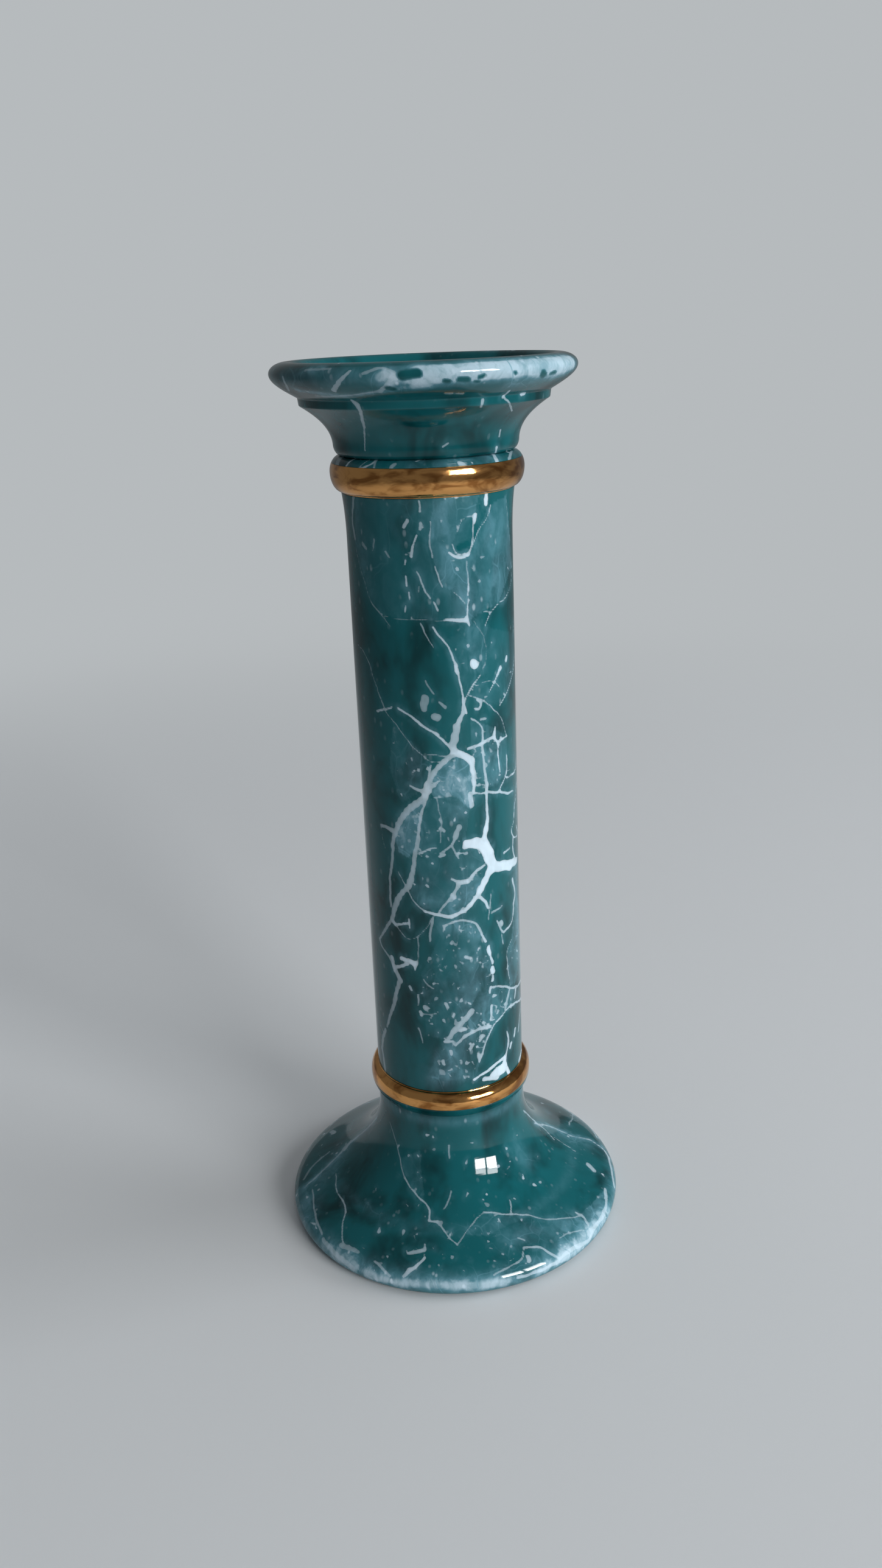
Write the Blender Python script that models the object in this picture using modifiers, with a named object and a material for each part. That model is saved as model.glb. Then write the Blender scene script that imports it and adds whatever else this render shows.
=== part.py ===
"""Marbled glass candlestick with two gilt collars.

A turned foot, a tubular shaft and a flared candle cup stand on one axis.  The foot and the cup
each have a spigot that passes through a gilt collar into the bore of the shaft, so every
collar is held between a shoulder and an end of the shaft.  Metres, +Z up, the origin at the
centre of the foot's underside.
"""

from math import asin, cos, hypot, pi, radians, sin

import bpy

# Joints between the sections
CEMENT_GAP = 0.0003
SPIGOT_LENGTH = 0.016
SPIGOT_WALL = 0.0045

# Foot, from the table upwards
FOOT_RADIUS = 0.0605
FOOT_EDGE_RISE = 0.0042
FOOT_EDGE_INSET = 0.0032
REST_RING_WIDTH = 0.0063
DISC_RADIUS = 0.0460
DISC_HEIGHT = 0.0145
NECK_RADIUS = 0.0264
NECK_HEIGHT = 0.0430
FOOT_HEIGHT = 0.0525
FOOT_WALL = 0.0060
FOOT_HOLLOW_LIP = 0.0045

# Lower bead, its upper part gilt
LOWER_BEAD_RADIUS = 0.0288
LOWER_BEAD_RISE = 0.0040
LOWER_BEAD_DROP = 0.0052
LOWER_GILT_DROP = 0.0012

# Shaft
SHAFT_LENGTH = 0.2027
SHAFT_RADIUS = 0.0262
SHAFT_WALL = 0.0045
SHAFT_TOP_RADIUS = 0.0271
SHAFT_TOP_FLARE = 0.0140

# Upper bead, its crest and lower part gilt
UPPER_BEAD_RADIUS = 0.0303
UPPER_BEAD_RISE = 0.0050
UPPER_BEAD_DROP = 0.0058
UPPER_GILT_RISE = 0.0026

# Candle cup, from the groove over the bead upwards
GROOVE_RADIUS = 0.0266
GROOVE_ROUND_RISE = 0.0035
COVE_FOOT_RADIUS = 0.0288
COVE_TOP_RADIUS = 0.0384
COVE_RISE = 0.0116
STEP_RADIUS = 0.0387
STEP_RISE = 0.0023
LIP_UNDERSIDE_RISE = 0.0071
LIP_RADIUS = 0.0468
LIP_CREST_RISE = 0.0034
LIP_CREST_INSET = 0.0055
LIP_INNER_DROP = 0.0032
LIP_INNER_INSET = 0.0033
DISH_DEPTH = 0.0180
SEAT_RADIUS = 0.0240
CANDLE_SOCKET_RADIUS = 0.0115
CANDLE_SOCKET_DEPTH = 0.0220

# Faces around the axis, and points along each curved stretch of a profile
TURNS = 48
ARC_POINTS = 5
CURVE_POINTS = 8

# Sizes that follow from the ones above
BORE_RADIUS = SHAFT_RADIUS - SHAFT_WALL
SPIGOT_RADIUS = BORE_RADIUS - CEMENT_GAP
FOOT_BORE_RADIUS = SPIGOT_RADIUS - SPIGOT_WALL
LOWER_COLLAR_HEIGHT = LOWER_BEAD_RISE + LOWER_GILT_DROP
UPPER_COLLAR_HEIGHT = UPPER_BEAD_DROP + UPPER_GILT_RISE
LOWER_COLLAR_Z = FOOT_HEIGHT + CEMENT_GAP
SHAFT_Z = LOWER_COLLAR_Z + LOWER_COLLAR_HEIGHT + CEMENT_GAP
UPPER_COLLAR_Z = SHAFT_Z + SHAFT_LENGTH + CEMENT_GAP
CUP_Z = UPPER_COLLAR_Z + UPPER_COLLAR_HEIGHT + CEMENT_GAP
SPIGOT_REACH_LOWER = CEMENT_GAP + LOWER_COLLAR_HEIGHT + CEMENT_GAP + SPIGOT_LENGTH
SPIGOT_REACH_UPPER = CEMENT_GAP + UPPER_COLLAR_HEIGHT + CEMENT_GAP + SPIGOT_LENGTH

# Finishes: linear colour, roughness, metallic
MARBLED_GREEN = ((0.010, 0.078, 0.062, 1.0), 0.07, 0.0)
POLISHED_GILT = ((0.850, 0.560, 0.210, 1.0), 0.14, 1.0)


def arc(centre_r, centre_z, half_r, half_z, start, end):
    """Points on an ellipse about (centre_r, centre_z), from one angle in radians to another."""
    angles = [start + (end - start) * i / ARC_POINTS for i in range(ARC_POINTS + 1)]
    return [(centre_r + half_r * cos(a), centre_z + half_z * sin(a)) for a in angles]


def curve(start, start_handle, end_handle, end):
    """Points on the cubic Bezier curve of two ends and their handles."""
    points = []
    for i in range(CURVE_POINTS + 1):
        t = i / CURVE_POINTS
        weights = ((1 - t) ** 3, 3 * t * (1 - t) ** 2, 3 * t ** 2 * (1 - t), t ** 3)
        ends = (start, start_handle, end_handle, end)
        points.append(tuple(sum(w * p[k] for w, p in zip(weights, ends)) for k in (0, 1)))
    return points


def join(*stretches):
    """One profile from several stretches, with each repeated meeting point kept once."""
    profile = []
    for stretch in stretches:
        for point in stretch:
            if not profile or max(abs(point[k] - profile[-1][k]) for k in (0, 1)) > 1e-7:
                profile.append(point)
    return profile


def inset(points, depth):
    """A stretch that runs outwards and down, moved by depth along its normals to the inside."""
    moved = []
    for i, (r, z) in enumerate(points):
        before, after = points[max(i - 1, 0)], points[min(i + 1, len(points) - 1)]
        run, fall = after[0] - before[0], after[1] - before[1]
        length = hypot(run, fall)
        moved.append((r + depth * fall / length, z - depth * run / length))
    return moved


def foot_profile():
    """Closed section of the foot: spigot, lower half of the bead, flare, edge and hollow."""
    crest_z = LOWER_COLLAR_Z + LOWER_GILT_DROP
    gilt_edge = -asin((crest_z - FOOT_HEIGHT) / LOWER_BEAD_DROP)
    bead_depth = LOWER_BEAD_RADIUS - NECK_RADIUS
    neck_fall = NECK_HEIGHT - DISC_HEIGHT
    disc_width = FOOT_RADIUS - DISC_RADIUS
    rest_inner = FOOT_RADIUS - FOOT_EDGE_INSET - REST_RING_WIDTH
    spigot_top = FOOT_HEIGHT + SPIGOT_REACH_LOWER
    flare = curve((NECK_RADIUS, NECK_HEIGHT),
                  (NECK_RADIUS, NECK_HEIGHT - neck_fall * 0.48),
                  (DISC_RADIUS - disc_width * 0.72, DISC_HEIGHT + neck_fall * 0.19),
                  (DISC_RADIUS, DISC_HEIGHT))
    disc = curve((DISC_RADIUS, DISC_HEIGHT),
                 (DISC_RADIUS + disc_width * 0.50, DISC_HEIGHT - neck_fall * 0.13),
                 (FOOT_RADIUS, FOOT_EDGE_RISE + (DISC_HEIGHT - FOOT_EDGE_RISE) * 0.40),
                 (FOOT_RADIUS, FOOT_EDGE_RISE))
    hollow = [(r, z) for r, z in inset(join(flare, disc), FOOT_WALL)
              if z > FOOT_HOLLOW_LIP and r < rest_inner]
    return join(
        [(SPIGOT_RADIUS, spigot_top), (SPIGOT_RADIUS, FOOT_HEIGHT)],
        arc(NECK_RADIUS, crest_z, bead_depth, LOWER_BEAD_DROP, gilt_edge, -pi / 2),
        flare,
        disc,
        arc(FOOT_RADIUS - FOOT_EDGE_INSET, FOOT_EDGE_RISE, FOOT_EDGE_INSET, FOOT_EDGE_RISE,
            0.0, -pi / 2),
        [(rest_inner, 0.0), (rest_inner, FOOT_HOLLOW_LIP)],
        reversed(hollow),
        [(FOOT_BORE_RADIUS, NECK_HEIGHT + FOOT_WALL), (FOOT_BORE_RADIUS, spigot_top)],
    )


def lower_collar_profile():
    """Closed section of the lower collar: the upper part of the bead round the foot's spigot."""
    crest_z = LOWER_GILT_DROP
    over = LOWER_BEAD_RADIUS - SHAFT_RADIUS
    under = LOWER_BEAD_RADIUS - NECK_RADIUS
    gilt_edge = -asin(LOWER_GILT_DROP / LOWER_BEAD_DROP)
    return join(
        [(BORE_RADIUS, LOWER_COLLAR_HEIGHT)],
        arc(SHAFT_RADIUS, crest_z, over, LOWER_BEAD_RISE, pi / 2, 0.0),
        arc(NECK_RADIUS, crest_z, under, LOWER_BEAD_DROP, 0.0, gilt_edge),
        [(BORE_RADIUS, 0.0)],
    )


def shaft_profile():
    """Closed section of the tubular shaft, flared a little where it meets the upper collar."""
    flare_z = SHAFT_LENGTH - SHAFT_TOP_FLARE
    return join(
        curve((SHAFT_TOP_RADIUS, SHAFT_LENGTH),
              (SHAFT_RADIUS + (SHAFT_TOP_RADIUS - SHAFT_RADIUS) * 0.3,
               SHAFT_LENGTH - SHAFT_TOP_FLARE * 0.3),
              (SHAFT_RADIUS, flare_z + SHAFT_TOP_FLARE * 0.3),
              (SHAFT_RADIUS, flare_z)),
        [(SHAFT_RADIUS, 0.0), (BORE_RADIUS, 0.0), (BORE_RADIUS, SHAFT_LENGTH)],
    )


def upper_collar_profile():
    """Closed section of the upper collar: crest and lower part of the bead round the spigot."""
    crest_z = UPPER_BEAD_DROP
    over = UPPER_BEAD_RADIUS - GROOVE_RADIUS
    under = UPPER_BEAD_RADIUS - SHAFT_TOP_RADIUS
    gilt_edge = asin(UPPER_GILT_RISE / UPPER_BEAD_RISE)
    return join(
        [(BORE_RADIUS, UPPER_COLLAR_HEIGHT)],
        arc(GROOVE_RADIUS, crest_z, over, UPPER_BEAD_RISE, gilt_edge, 0.0),
        arc(SHAFT_TOP_RADIUS, crest_z, under, UPPER_BEAD_DROP, 0.0, -pi / 2),
        [(BORE_RADIUS, 0.0)],
    )


def cup_profile():
    """Section of the cup from the axis, over the lip and back to the axis under the spigot."""
    crest_z = UPPER_BEAD_DROP - UPPER_COLLAR_HEIGHT - CEMENT_GAP
    over = UPPER_BEAD_RADIUS - GROOVE_RADIUS
    gilt_edge = asin(-crest_z / UPPER_BEAD_RISE)
    groove_z = crest_z + UPPER_BEAD_RISE
    cove_z = groove_z + GROOVE_ROUND_RISE
    step_z = cove_z + COVE_RISE
    underside_z = step_z + STEP_RISE
    lip_z = underside_z + LIP_UNDERSIDE_RISE
    top_z = lip_z + LIP_CREST_RISE
    crest_r = LIP_RADIUS - LIP_CREST_INSET
    mouth_r = crest_r - LIP_INNER_INSET
    mouth_z = top_z - LIP_INNER_DROP
    seat_z = top_z - DISH_DEPTH
    socket_z = seat_z - CANDLE_SOCKET_DEPTH
    dish_width = mouth_r - SEAT_RADIUS
    cove_depth = COVE_TOP_RADIUS - COVE_FOOT_RADIUS
    return join(
        [(0.0, socket_z), (CANDLE_SOCKET_RADIUS, socket_z), (CANDLE_SOCKET_RADIUS, seat_z)],
        curve((SEAT_RADIUS, seat_z),
              (SEAT_RADIUS + dish_width * 0.46, seat_z),
              (mouth_r - dish_width * 0.18, mouth_z - (mouth_z - seat_z) * 0.32),
              (mouth_r, mouth_z)),
        arc(crest_r, mouth_z, LIP_INNER_INSET, LIP_INNER_DROP, pi, pi / 2),
        arc(crest_r, lip_z, LIP_CREST_INSET, LIP_CREST_RISE, pi / 2, 0.0),
        curve((LIP_RADIUS, lip_z),
              (LIP_RADIUS, lip_z - LIP_UNDERSIDE_RISE * 0.36),
              (STEP_RADIUS + (LIP_RADIUS - STEP_RADIUS) * 0.53,
               underside_z + LIP_UNDERSIDE_RISE * 0.35),
              (STEP_RADIUS, underside_z)),
        curve((COVE_TOP_RADIUS, step_z),
              (COVE_TOP_RADIUS - cove_depth * 0.46, step_z - COVE_RISE * 0.24),
              (COVE_FOOT_RADIUS + cove_depth * 0.05, cove_z + COVE_RISE * 0.45),
              (COVE_FOOT_RADIUS, cove_z)),
        arc(GROOVE_RADIUS, cove_z, COVE_FOOT_RADIUS - GROOVE_RADIUS, GROOVE_ROUND_RISE,
            0.0, radians(-80)),
        arc(GROOVE_RADIUS, crest_z, over, UPPER_BEAD_RISE, pi / 2, gilt_edge),
        [(SPIGOT_RADIUS, 0.0), (SPIGOT_RADIUS, -SPIGOT_REACH_UPPER), (0.0, -SPIGOT_REACH_UPPER)],
    )


def finish(name, colour, roughness, metallic):
    """A Principled material of one finish."""
    material = bpy.data.materials.new(name)
    material.use_nodes = True
    shader = material.node_tree.nodes["Principled BSDF"]
    shader.inputs["Base Color"].default_value = colour
    shader.inputs["Roughness"].default_value = roughness
    shader.inputs["Metallic"].default_value = metallic
    material.diffuse_color = colour
    return material


def turned(name, profile, closed, base_z, look, collection, frame):
    """A piece turned about the axis from its section, seated at base_z and finished."""
    count = len(profile)
    edges = [(i, i + 1) for i in range(count - 1)]
    if closed:
        edges.append((count - 1, 0))
    mesh = bpy.data.meshes.new(name)
    mesh.from_pydata([(r, 0.0, z) for r, z in profile], edges, [])
    piece = bpy.data.objects.new(name, mesh)
    collection.objects.link(piece)
    piece.parent = frame
    piece.location.z = base_z
    mesh.materials.append(finish(name + "_finish", *look))
    screw = piece.modifiers.new("turning", "SCREW")
    screw.axis = "Z"
    screw.angle = 2 * pi
    screw.steps = TURNS
    screw.render_steps = TURNS
    screw.use_merge_vertices = True
    screw.merge_threshold = 0.00001
    screw.use_smooth_shade = True
    return piece


def build():
    """Clears the scene, then makes the five pieces from the foot upwards."""
    for thing in list(bpy.data.objects):
        bpy.data.objects.remove(thing, do_unlink=True)
    collection = bpy.data.collections.new("glass_candlestick")
    bpy.context.scene.collection.children.link(collection)
    frame = bpy.data.objects.new("candlestick_frame", None)
    collection.objects.link(frame)
    turned("foot", foot_profile(), True, 0.0, MARBLED_GREEN, collection, frame)
    turned("lower_gilt_collar", lower_collar_profile(), True, LOWER_COLLAR_Z, POLISHED_GILT,
           collection, frame)
    turned("shaft", shaft_profile(), True, SHAFT_Z, MARBLED_GREEN, collection, frame)
    turned("upper_gilt_collar", upper_collar_profile(), True, UPPER_COLLAR_Z, POLISHED_GILT,
           collection, frame)
    turned("candle_cup", cup_profile(), False, CUP_Z, MARBLED_GREEN, collection, frame)
    bpy.context.view_layer.update()


build()
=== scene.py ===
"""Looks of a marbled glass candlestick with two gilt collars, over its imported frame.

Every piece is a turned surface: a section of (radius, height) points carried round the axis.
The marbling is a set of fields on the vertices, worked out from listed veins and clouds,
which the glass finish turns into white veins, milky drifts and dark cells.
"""

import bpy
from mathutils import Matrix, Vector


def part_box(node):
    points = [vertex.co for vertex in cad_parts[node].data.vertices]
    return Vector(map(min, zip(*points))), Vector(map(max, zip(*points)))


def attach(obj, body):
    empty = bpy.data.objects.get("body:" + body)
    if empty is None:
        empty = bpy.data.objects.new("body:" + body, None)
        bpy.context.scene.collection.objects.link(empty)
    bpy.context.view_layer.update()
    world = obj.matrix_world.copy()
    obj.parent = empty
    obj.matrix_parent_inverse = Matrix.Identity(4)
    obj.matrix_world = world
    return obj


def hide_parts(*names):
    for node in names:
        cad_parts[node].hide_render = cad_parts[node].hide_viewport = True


bl_info = {
    "name": "Marbled Candlestick",
    "version": (1, 0, 0),
    "blender": (4, 5, 0),
    "location": "View3D > Sidebar > Candlestick",
    "description": "Dresses the turned sections of a marbled glass candlestick",
    "category": "Object",
}

import bpy
import numpy as np
from bpy.props import FloatProperty, FloatVectorProperty, PointerProperty
from mathutils import Matrix, Vector

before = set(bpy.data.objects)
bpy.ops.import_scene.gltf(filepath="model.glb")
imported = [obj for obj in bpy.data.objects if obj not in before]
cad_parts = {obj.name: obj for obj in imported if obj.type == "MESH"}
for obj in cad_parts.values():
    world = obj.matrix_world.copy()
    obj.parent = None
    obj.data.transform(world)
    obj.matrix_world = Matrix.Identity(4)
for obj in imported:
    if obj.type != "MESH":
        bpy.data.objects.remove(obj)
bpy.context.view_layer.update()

MM = 0.001

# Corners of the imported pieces, which the sections below start from
FOOT_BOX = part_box("foot")
LOWER_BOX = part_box("lower_gilt_collar")
SHAFT_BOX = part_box("shaft")
UPPER_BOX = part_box("upper_gilt_collar")
CUP_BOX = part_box("candle_cup")

# The photograph's frame in pixels, and the camera that it was taken with
PHOTO_SIZE = (1449, 2576)
FOCAL_PIXELS = 2140.0
SENSOR_LONG_SIDE = 36.0
CAMERA_DISTANCE = 0.4147
CAMERA_HEIGHT = 0.3110
CAMERA_PITCH = 19.72
CAMERA_ROLL = -2.23
CAMERA_YAW = 0.07
CAMERA_CLIP_START = 0.01
CAMERA_PLACE = np.array([0.0, -CAMERA_DISTANCE, CAMERA_HEIGHT])

# Veins as pixels read off the photograph: widths in pixels at both ends, how white the vein
# is, then its route
SHAFT_VEINS = {
    "left_haze": (6, 4, 0.42, (581, 812), (579, 851), (583, 883)),
    "left_thread": (1.5, 1.5, 0.30, (583, 883), (588, 921), (601, 959), (609, 988), (623, 1007),
                    (642, 1030)),
    "left_blotch": (6, 5, 0.30, (596, 893), (601, 901)),
    "left_tick": (3, 3, 0.32, (614, 884), (612, 903)),
    "left_tick_low": (4, 3, 0.34, (634, 906), (640, 917)),
    "cell_floor": (1.5, 1.6, 0.38, (609, 988), (623, 1008), (645, 1017), (693, 1020), (731, 1019)),
    "cell_wedge": (3, 8, 0.80, (731, 1018), (750, 1017), (767, 1018)),
    "cell_wedge_tip": (7, 2, 0.75, (767, 1014), (771, 1029)),
    "left_hair": (1.5, 2.2, 0.40, (588, 1058), (599, 1071), (609, 1097), (620, 1132), (628, 1152),
                  (632, 1164)),
    "speck_top": (5, 6, 0.60, (663, 867), (669, 857)),
    "streak_top": (3, 4, 0.60, (688, 824), (689, 842)),
    "streak_bead": (5, 4, 0.50, (690, 862), (689, 872)),
    "streak_mid": (3, 5, 0.72, (684, 881), (680, 897), (677, 914)),
    "dash_a": (2.5, 2.5, 0.70, (668, 919), (667, 929)),
    "dash_b": (3, 3, 0.78, (667, 947), (667, 964)),
    "dash_c": (3, 2.5, 0.80, (671, 974), (672, 985)),
    "dash_d": (3, 2.5, 0.65, (666, 996), (666, 1006)),
    "dash_e": (2, 2, 0.45, (687, 966), (687, 975)),
    "slant_a": (2, 3.5, 0.60, (685, 940), (693, 966), (706, 984)),
    "slant_b": (3, 3, 0.62, (711, 990), (719, 1002)),
    "slant_c": (2, 2.5, 0.50, (706, 858), (707, 889), (711, 915)),
    "slant_d": (3, 2.5, 0.60, (715, 930), (722, 956), (727, 965)),
    "slant_e": (2, 2, 0.50, (744, 972), (754, 980), (763, 991)),
    "cup_floor": (4, 6, 0.92, (738, 907), (747, 912), (760, 915), (770, 911)),
    "cup_inner": (2, 3, 0.75, (744, 892), (747, 904), (757, 910), (766, 908)),
    "cup_wall": (4, 2, 0.70, (771, 910), (777, 899), (776, 870), (778, 854)),
    "cup_flag": (9, 3, 0.90, (780, 847), (779, 858)),
    "cup_branch": (1.8, 2, 0.45, (750, 873), (757, 854), (770, 848), (779, 847)),
    "bright_dash": (6, 7, 0.95, (800, 806), (798, 830)),
    "dash_tail": (3, 2, 0.55, (806, 830), (797, 857), (784, 873), (778, 896)),
    "dotted_a": (2, 2.5, 0.45, (768, 921), (768, 948)),
    "dotted_b": (2.5, 3, 0.72, (768, 952), (768, 977)),
    "dotted_c": (2.5, 3, 0.75, (768, 984), (768, 1016)),
    "right_hair": (2, 2.5, 0.58, (841, 928), (840, 959), (832, 979), (817, 995), (805, 1007),
                   (798, 1030)),
    "right_tick": (2, 3, 0.55, (793, 1007), (805, 1007)),
    "edge_hair": (1.4, 1.5, 0.36, (832, 810), (833, 864), (838, 889)),
    "edge_hair_low": (2.5, 2.5, 0.62, (844, 1018), (843, 1040)),
    "spine_top": (2.5, 3, 0.72, (712, 1030), (731, 1055), (742, 1074), (749, 1090)),
    "spine_bead": (6, 6, 0.85, (748, 1092), (749, 1102)),
    "spine_low": (3, 3.5, 0.80, (750, 1103), (760, 1141), (766, 1170)),
    "spine_side": (2.5, 1.5, 0.46, (691, 1026), (704, 1049), (712, 1065)),
    "loop_faint": (1.4, 1.5, 0.32, (778, 1020), (795, 1042), (800, 1065), (795, 1097), (787, 1111)),
    "loop_low": (3, 3, 0.68, (787, 1111), (770, 1135), (763, 1154), (759, 1170)),
    "dot": (15, 15, 0.95, (777, 1090), (779, 1092)),
    "dot_right": (7, 7, 0.72, (832, 1078), (831, 1083)),
    "star_right": (8, 4, 0.75, (822, 1098), (816, 1110)),
    "star_leg": (4, 2, 0.65, (816, 1110), (811, 1122), (803, 1138)),
    "star_arm": (1.6, 1.6, 0.48, (782, 1127), (795, 1122), (809, 1119), (821, 1128)),
    "edge_slant": (2.5, 3, 0.62, (845, 1077), (843, 1106), (833, 1138), (822, 1160)),
    "net_arc": (1.8, 2, 0.60, (771, 1143), (792, 1149), (811, 1164), (824, 1179), (832, 1208)),
    "crescent": (4, 4, 0.65, (784, 1149), (792, 1154), (789, 1164), (781, 1164)),
    "crescent_low": (4, 4, 0.48, (791, 1181), (799, 1181)),
    "blot": (13, 10, 0.34, (699, 1149), (697, 1166)),
    "blot_low": (11, 11, 0.40, (715, 1178), (720, 1179)),
    "blot_side": (3, 6, 0.36, (722, 1154), (733, 1162)),
    "blot_tail": (3, 3, 0.34, (699, 1119), (705, 1132), (712, 1141)),
    "left_tip": (4, 3, 0.72, (620, 1167), (632, 1164), (645, 1162)),
    "left_arm": (3.4, 4.6, 0.82, (655, 1164), (674, 1176), (693, 1191), (709, 1202), (718, 1206)),
    "left_arm_low": (3.6, 4.4, 0.84, (714, 1206), (728, 1218), (738, 1226), (747, 1237)),
    "left_slip": (1.5, 1.7, 0.44, (632, 1164), (645, 1183), (668, 1215), (680, 1230), (709, 1259),
                  (739, 1243)),
    "left_slip_low": (3, 3.5, 0.62, (709, 1259), (706, 1275), (703, 1291)),
    "left_cross": (1.8, 2, 0.42, (701, 1242), (741, 1243)),
    "spine_head": (4, 10, 0.66, (762, 1168), (755, 1180), (751, 1192)),
    "spine_body": (12, 13, 0.52, (751, 1192), (746, 1211), (743, 1226)),
    "spine_foot": (12, 9, 0.74, (743, 1226), (747, 1238), (756, 1240)),
    "net_drop": (2.5, 3, 0.66, (774, 1179), (792, 1189), (795, 1202), (790, 1224)),
    "net_arm": (3.5, 6, 0.82, (768, 1230), (782, 1226), (805, 1215), (811, 1211)),
    "net_spike": (7, 2, 0.85, (811, 1213), (813, 1194)),
    "net_fork": (5, 2.5, 0.80, (811, 1211), (817, 1221), (832, 1208)),
    "net_stem": (4, 3, 0.82, (817, 1221), (817, 1240), (821, 1270)),
    "net_link": (3, 3, 0.66, (832, 1240), (833, 1272), (822, 1297)),
    "net_edge": (3, 3.5, 0.75, (848, 1250), (846, 1269), (833, 1275)),
    "net_edge_up": (4, 3, 0.80, (843, 1238), (843, 1250)),
    "crown": (10, 12, 0.95, (744, 1238), (758, 1238), (772, 1249)),
    "crown_right": (10, 5, 0.88, (772, 1248), (778, 1264), (779, 1285), (779, 1302)),
    "crown_left": (7, 8, 0.58, (744, 1240), (725, 1256), (709, 1278), (702, 1294)),
    "cascade": (3, 5, 0.64, (791, 1224), (795, 1259), (800, 1290)),
    "cascade_mid": (5, 5, 0.80, (800, 1290), (801, 1337), (799, 1352)),
    "cascade_low": (6, 12, 0.90, (799, 1350), (797, 1366), (795, 1382)),
    "knot": (5, 13, 0.82, (703, 1286), (702, 1300)),
    "knot_low": (13, 11, 0.78, (702, 1300), (696, 1312)),
    "knot_star": (8, 2, 0.62, (699, 1302), (684, 1296), (674, 1290)),
    "knot_star_up": (8, 3, 0.60, (704, 1299), (714, 1290), (722, 1282)),
    "tail": (11, 10, 0.54, (696, 1313), (680, 1323), (664, 1337), (653, 1353)),
    "tail_low": (9, 7, 0.52, (653, 1353), (648, 1369), (645, 1392)),
    "tail_spur": (9, 4, 0.55, (649, 1368), (636, 1358), (625, 1355)),
    "tail_hair": (1.4, 1.4, 0.30, (625, 1357), (628, 1379), (634, 1393)),
    "tail_drop": (6, 3.5, 0.50, (646, 1392), (645, 1417), (642, 1439), (640, 1465), (641, 1487)),
    "rope_top": (4, 5, 0.66, (699, 1315), (693, 1337), (689, 1350), (687, 1376)),
    "rope": (6, 9, 0.52, (687, 1376), (683, 1408), (680, 1433), (669, 1457)),
    "rope_low": (9, 10, 0.50, (669, 1457), (655, 1471), (647, 1490), (645, 1510)),
    "rope_end": (9, 5, 0.68, (645, 1510), (650, 1518)),
    "rope_spur": (5, 4, 0.78, (650, 1518), (662, 1517), (671, 1517)),
    "rope_spur_tip": (3, 3, 0.72, (672, 1510), (674, 1525)),
    "rope_left": (6, 3, 0.52, (642, 1513), (629, 1532), (624, 1541)),
    "rope_left_low": (3, 5, 0.50, (624, 1541), (628, 1554), (639, 1569), (644, 1578)),
    "ring": (2.2, 1.5, 0.40, (650, 1518), (660, 1532), (672, 1545), (687, 1540), (704, 1524),
             (709, 1510)),
    "ring_side": (2.6, 1.4, 0.36, (688, 1540), (688, 1564), (682, 1589)),
    "chip": (7, 11, 0.92, (659, 1574), (668, 1578), (680, 1584)),
    "chip_end": (6, 3, 0.85, (680, 1585), (681, 1594)),
    "chip_left": (8, 6, 0.78, (644, 1571), (646, 1583), (648, 1594)),
    "chip_link": (5, 6, 0.80, (648, 1588), (668, 1583)),
    "taper": (7, 10, 0.58, (650, 1594), (657, 1610)),
    "taper_low": (10, 4, 0.52, (657, 1610), (650, 1637), (642, 1666), (636, 1685)),
    "taper_end": (5, 8, 0.50, (634, 1690), (629, 1708), (628, 1722)),
    "taper_tip": (8, 5, 0.50, (628, 1722), (631, 1739), (633, 1760)),
    "taper_hair": (2, 2, 0.34, (618, 1666), (632, 1698)),
    "fork_knob": (16, 16, 1.00, (766, 1386), (782, 1385)),
    "fork_arm": (17, 18, 1.00, (782, 1385), (793, 1386), (800, 1396)),
    "fork_body": (19, 20, 1.00, (800, 1396), (806, 1410), (809, 1424)),
    "fork_right": (16, 18, 0.92, (810, 1422), (824, 1424), (838, 1420)),
    "fork_right_tip": (17, 12, 0.85, (838, 1419), (848, 1412)),
    "fork_down": (17, 10, 0.95, (807, 1428), (796, 1449), (787, 1466)),
    "fork_bowl": (8, 6, 0.92, (787, 1468), (776, 1482), (763, 1497), (744, 1506)),
    "fork_bowl_low": (6.5, 4, 0.90, (744, 1506), (728, 1506), (712, 1503), (699, 1498)),
    "fork_bowl_left": (2.6, 1.4, 0.55, (699, 1498), (680, 1484), (671, 1468), (664, 1452),
                       (655, 1430)),
    "fork_spur": (7, 3, 0.82, (786, 1472), (795, 1479), (802, 1492)),
    "fork_link": (4, 6, 0.70, (796, 1420), (779, 1433), (768, 1445)),
    "fork_patch": (9, 8, 0.74, (766, 1446), (752, 1450)),
    "fork_patch_tip": (5, 3, 0.66, (752, 1448), (742, 1444)),
    "link_low": (6, 3, 0.56, (752, 1452), (747, 1465), (731, 1484), (722, 1500)),
    "link_blob": (8, 8, 0.66, (742, 1471), (744, 1475)),
    "cell_tick": (4, 2.5, 0.62, (691, 1403), (706, 1396), (719, 1394)),
    "cell_star": (6, 5, 0.56, (724, 1408), (731, 1404)),
    "cell_branch": (3, 5, 0.50, (725, 1403), (744, 1388), (750, 1369)),
    "cell_leg": (3, 2, 0.44, (744, 1390), (754, 1411)),
    "cell_hair": (2, 2, 0.34, (718, 1313), (723, 1340), (724, 1385)),
    "cell_top": (2, 2.5, 0.48, (709, 1314), (722, 1308), (747, 1307)),
    "cell_spot": (5, 5, 0.52, (727, 1363), (730, 1365)),
    "cell_spot_right": (4, 4, 0.46, (764, 1402), (768, 1400)),
    "cell_spot_low": (4, 4, 0.60, (699, 1454), (703, 1457)),
    "cell_milk": (9, 7, 0.42, (754, 1358), (748, 1376)),
    "heart_drop": (7, 9, 0.60, (772, 1304), (774, 1324)),
    "edge_line": (3, 3, 0.72, (849, 1280), (846, 1312), (843, 1350)),
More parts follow.
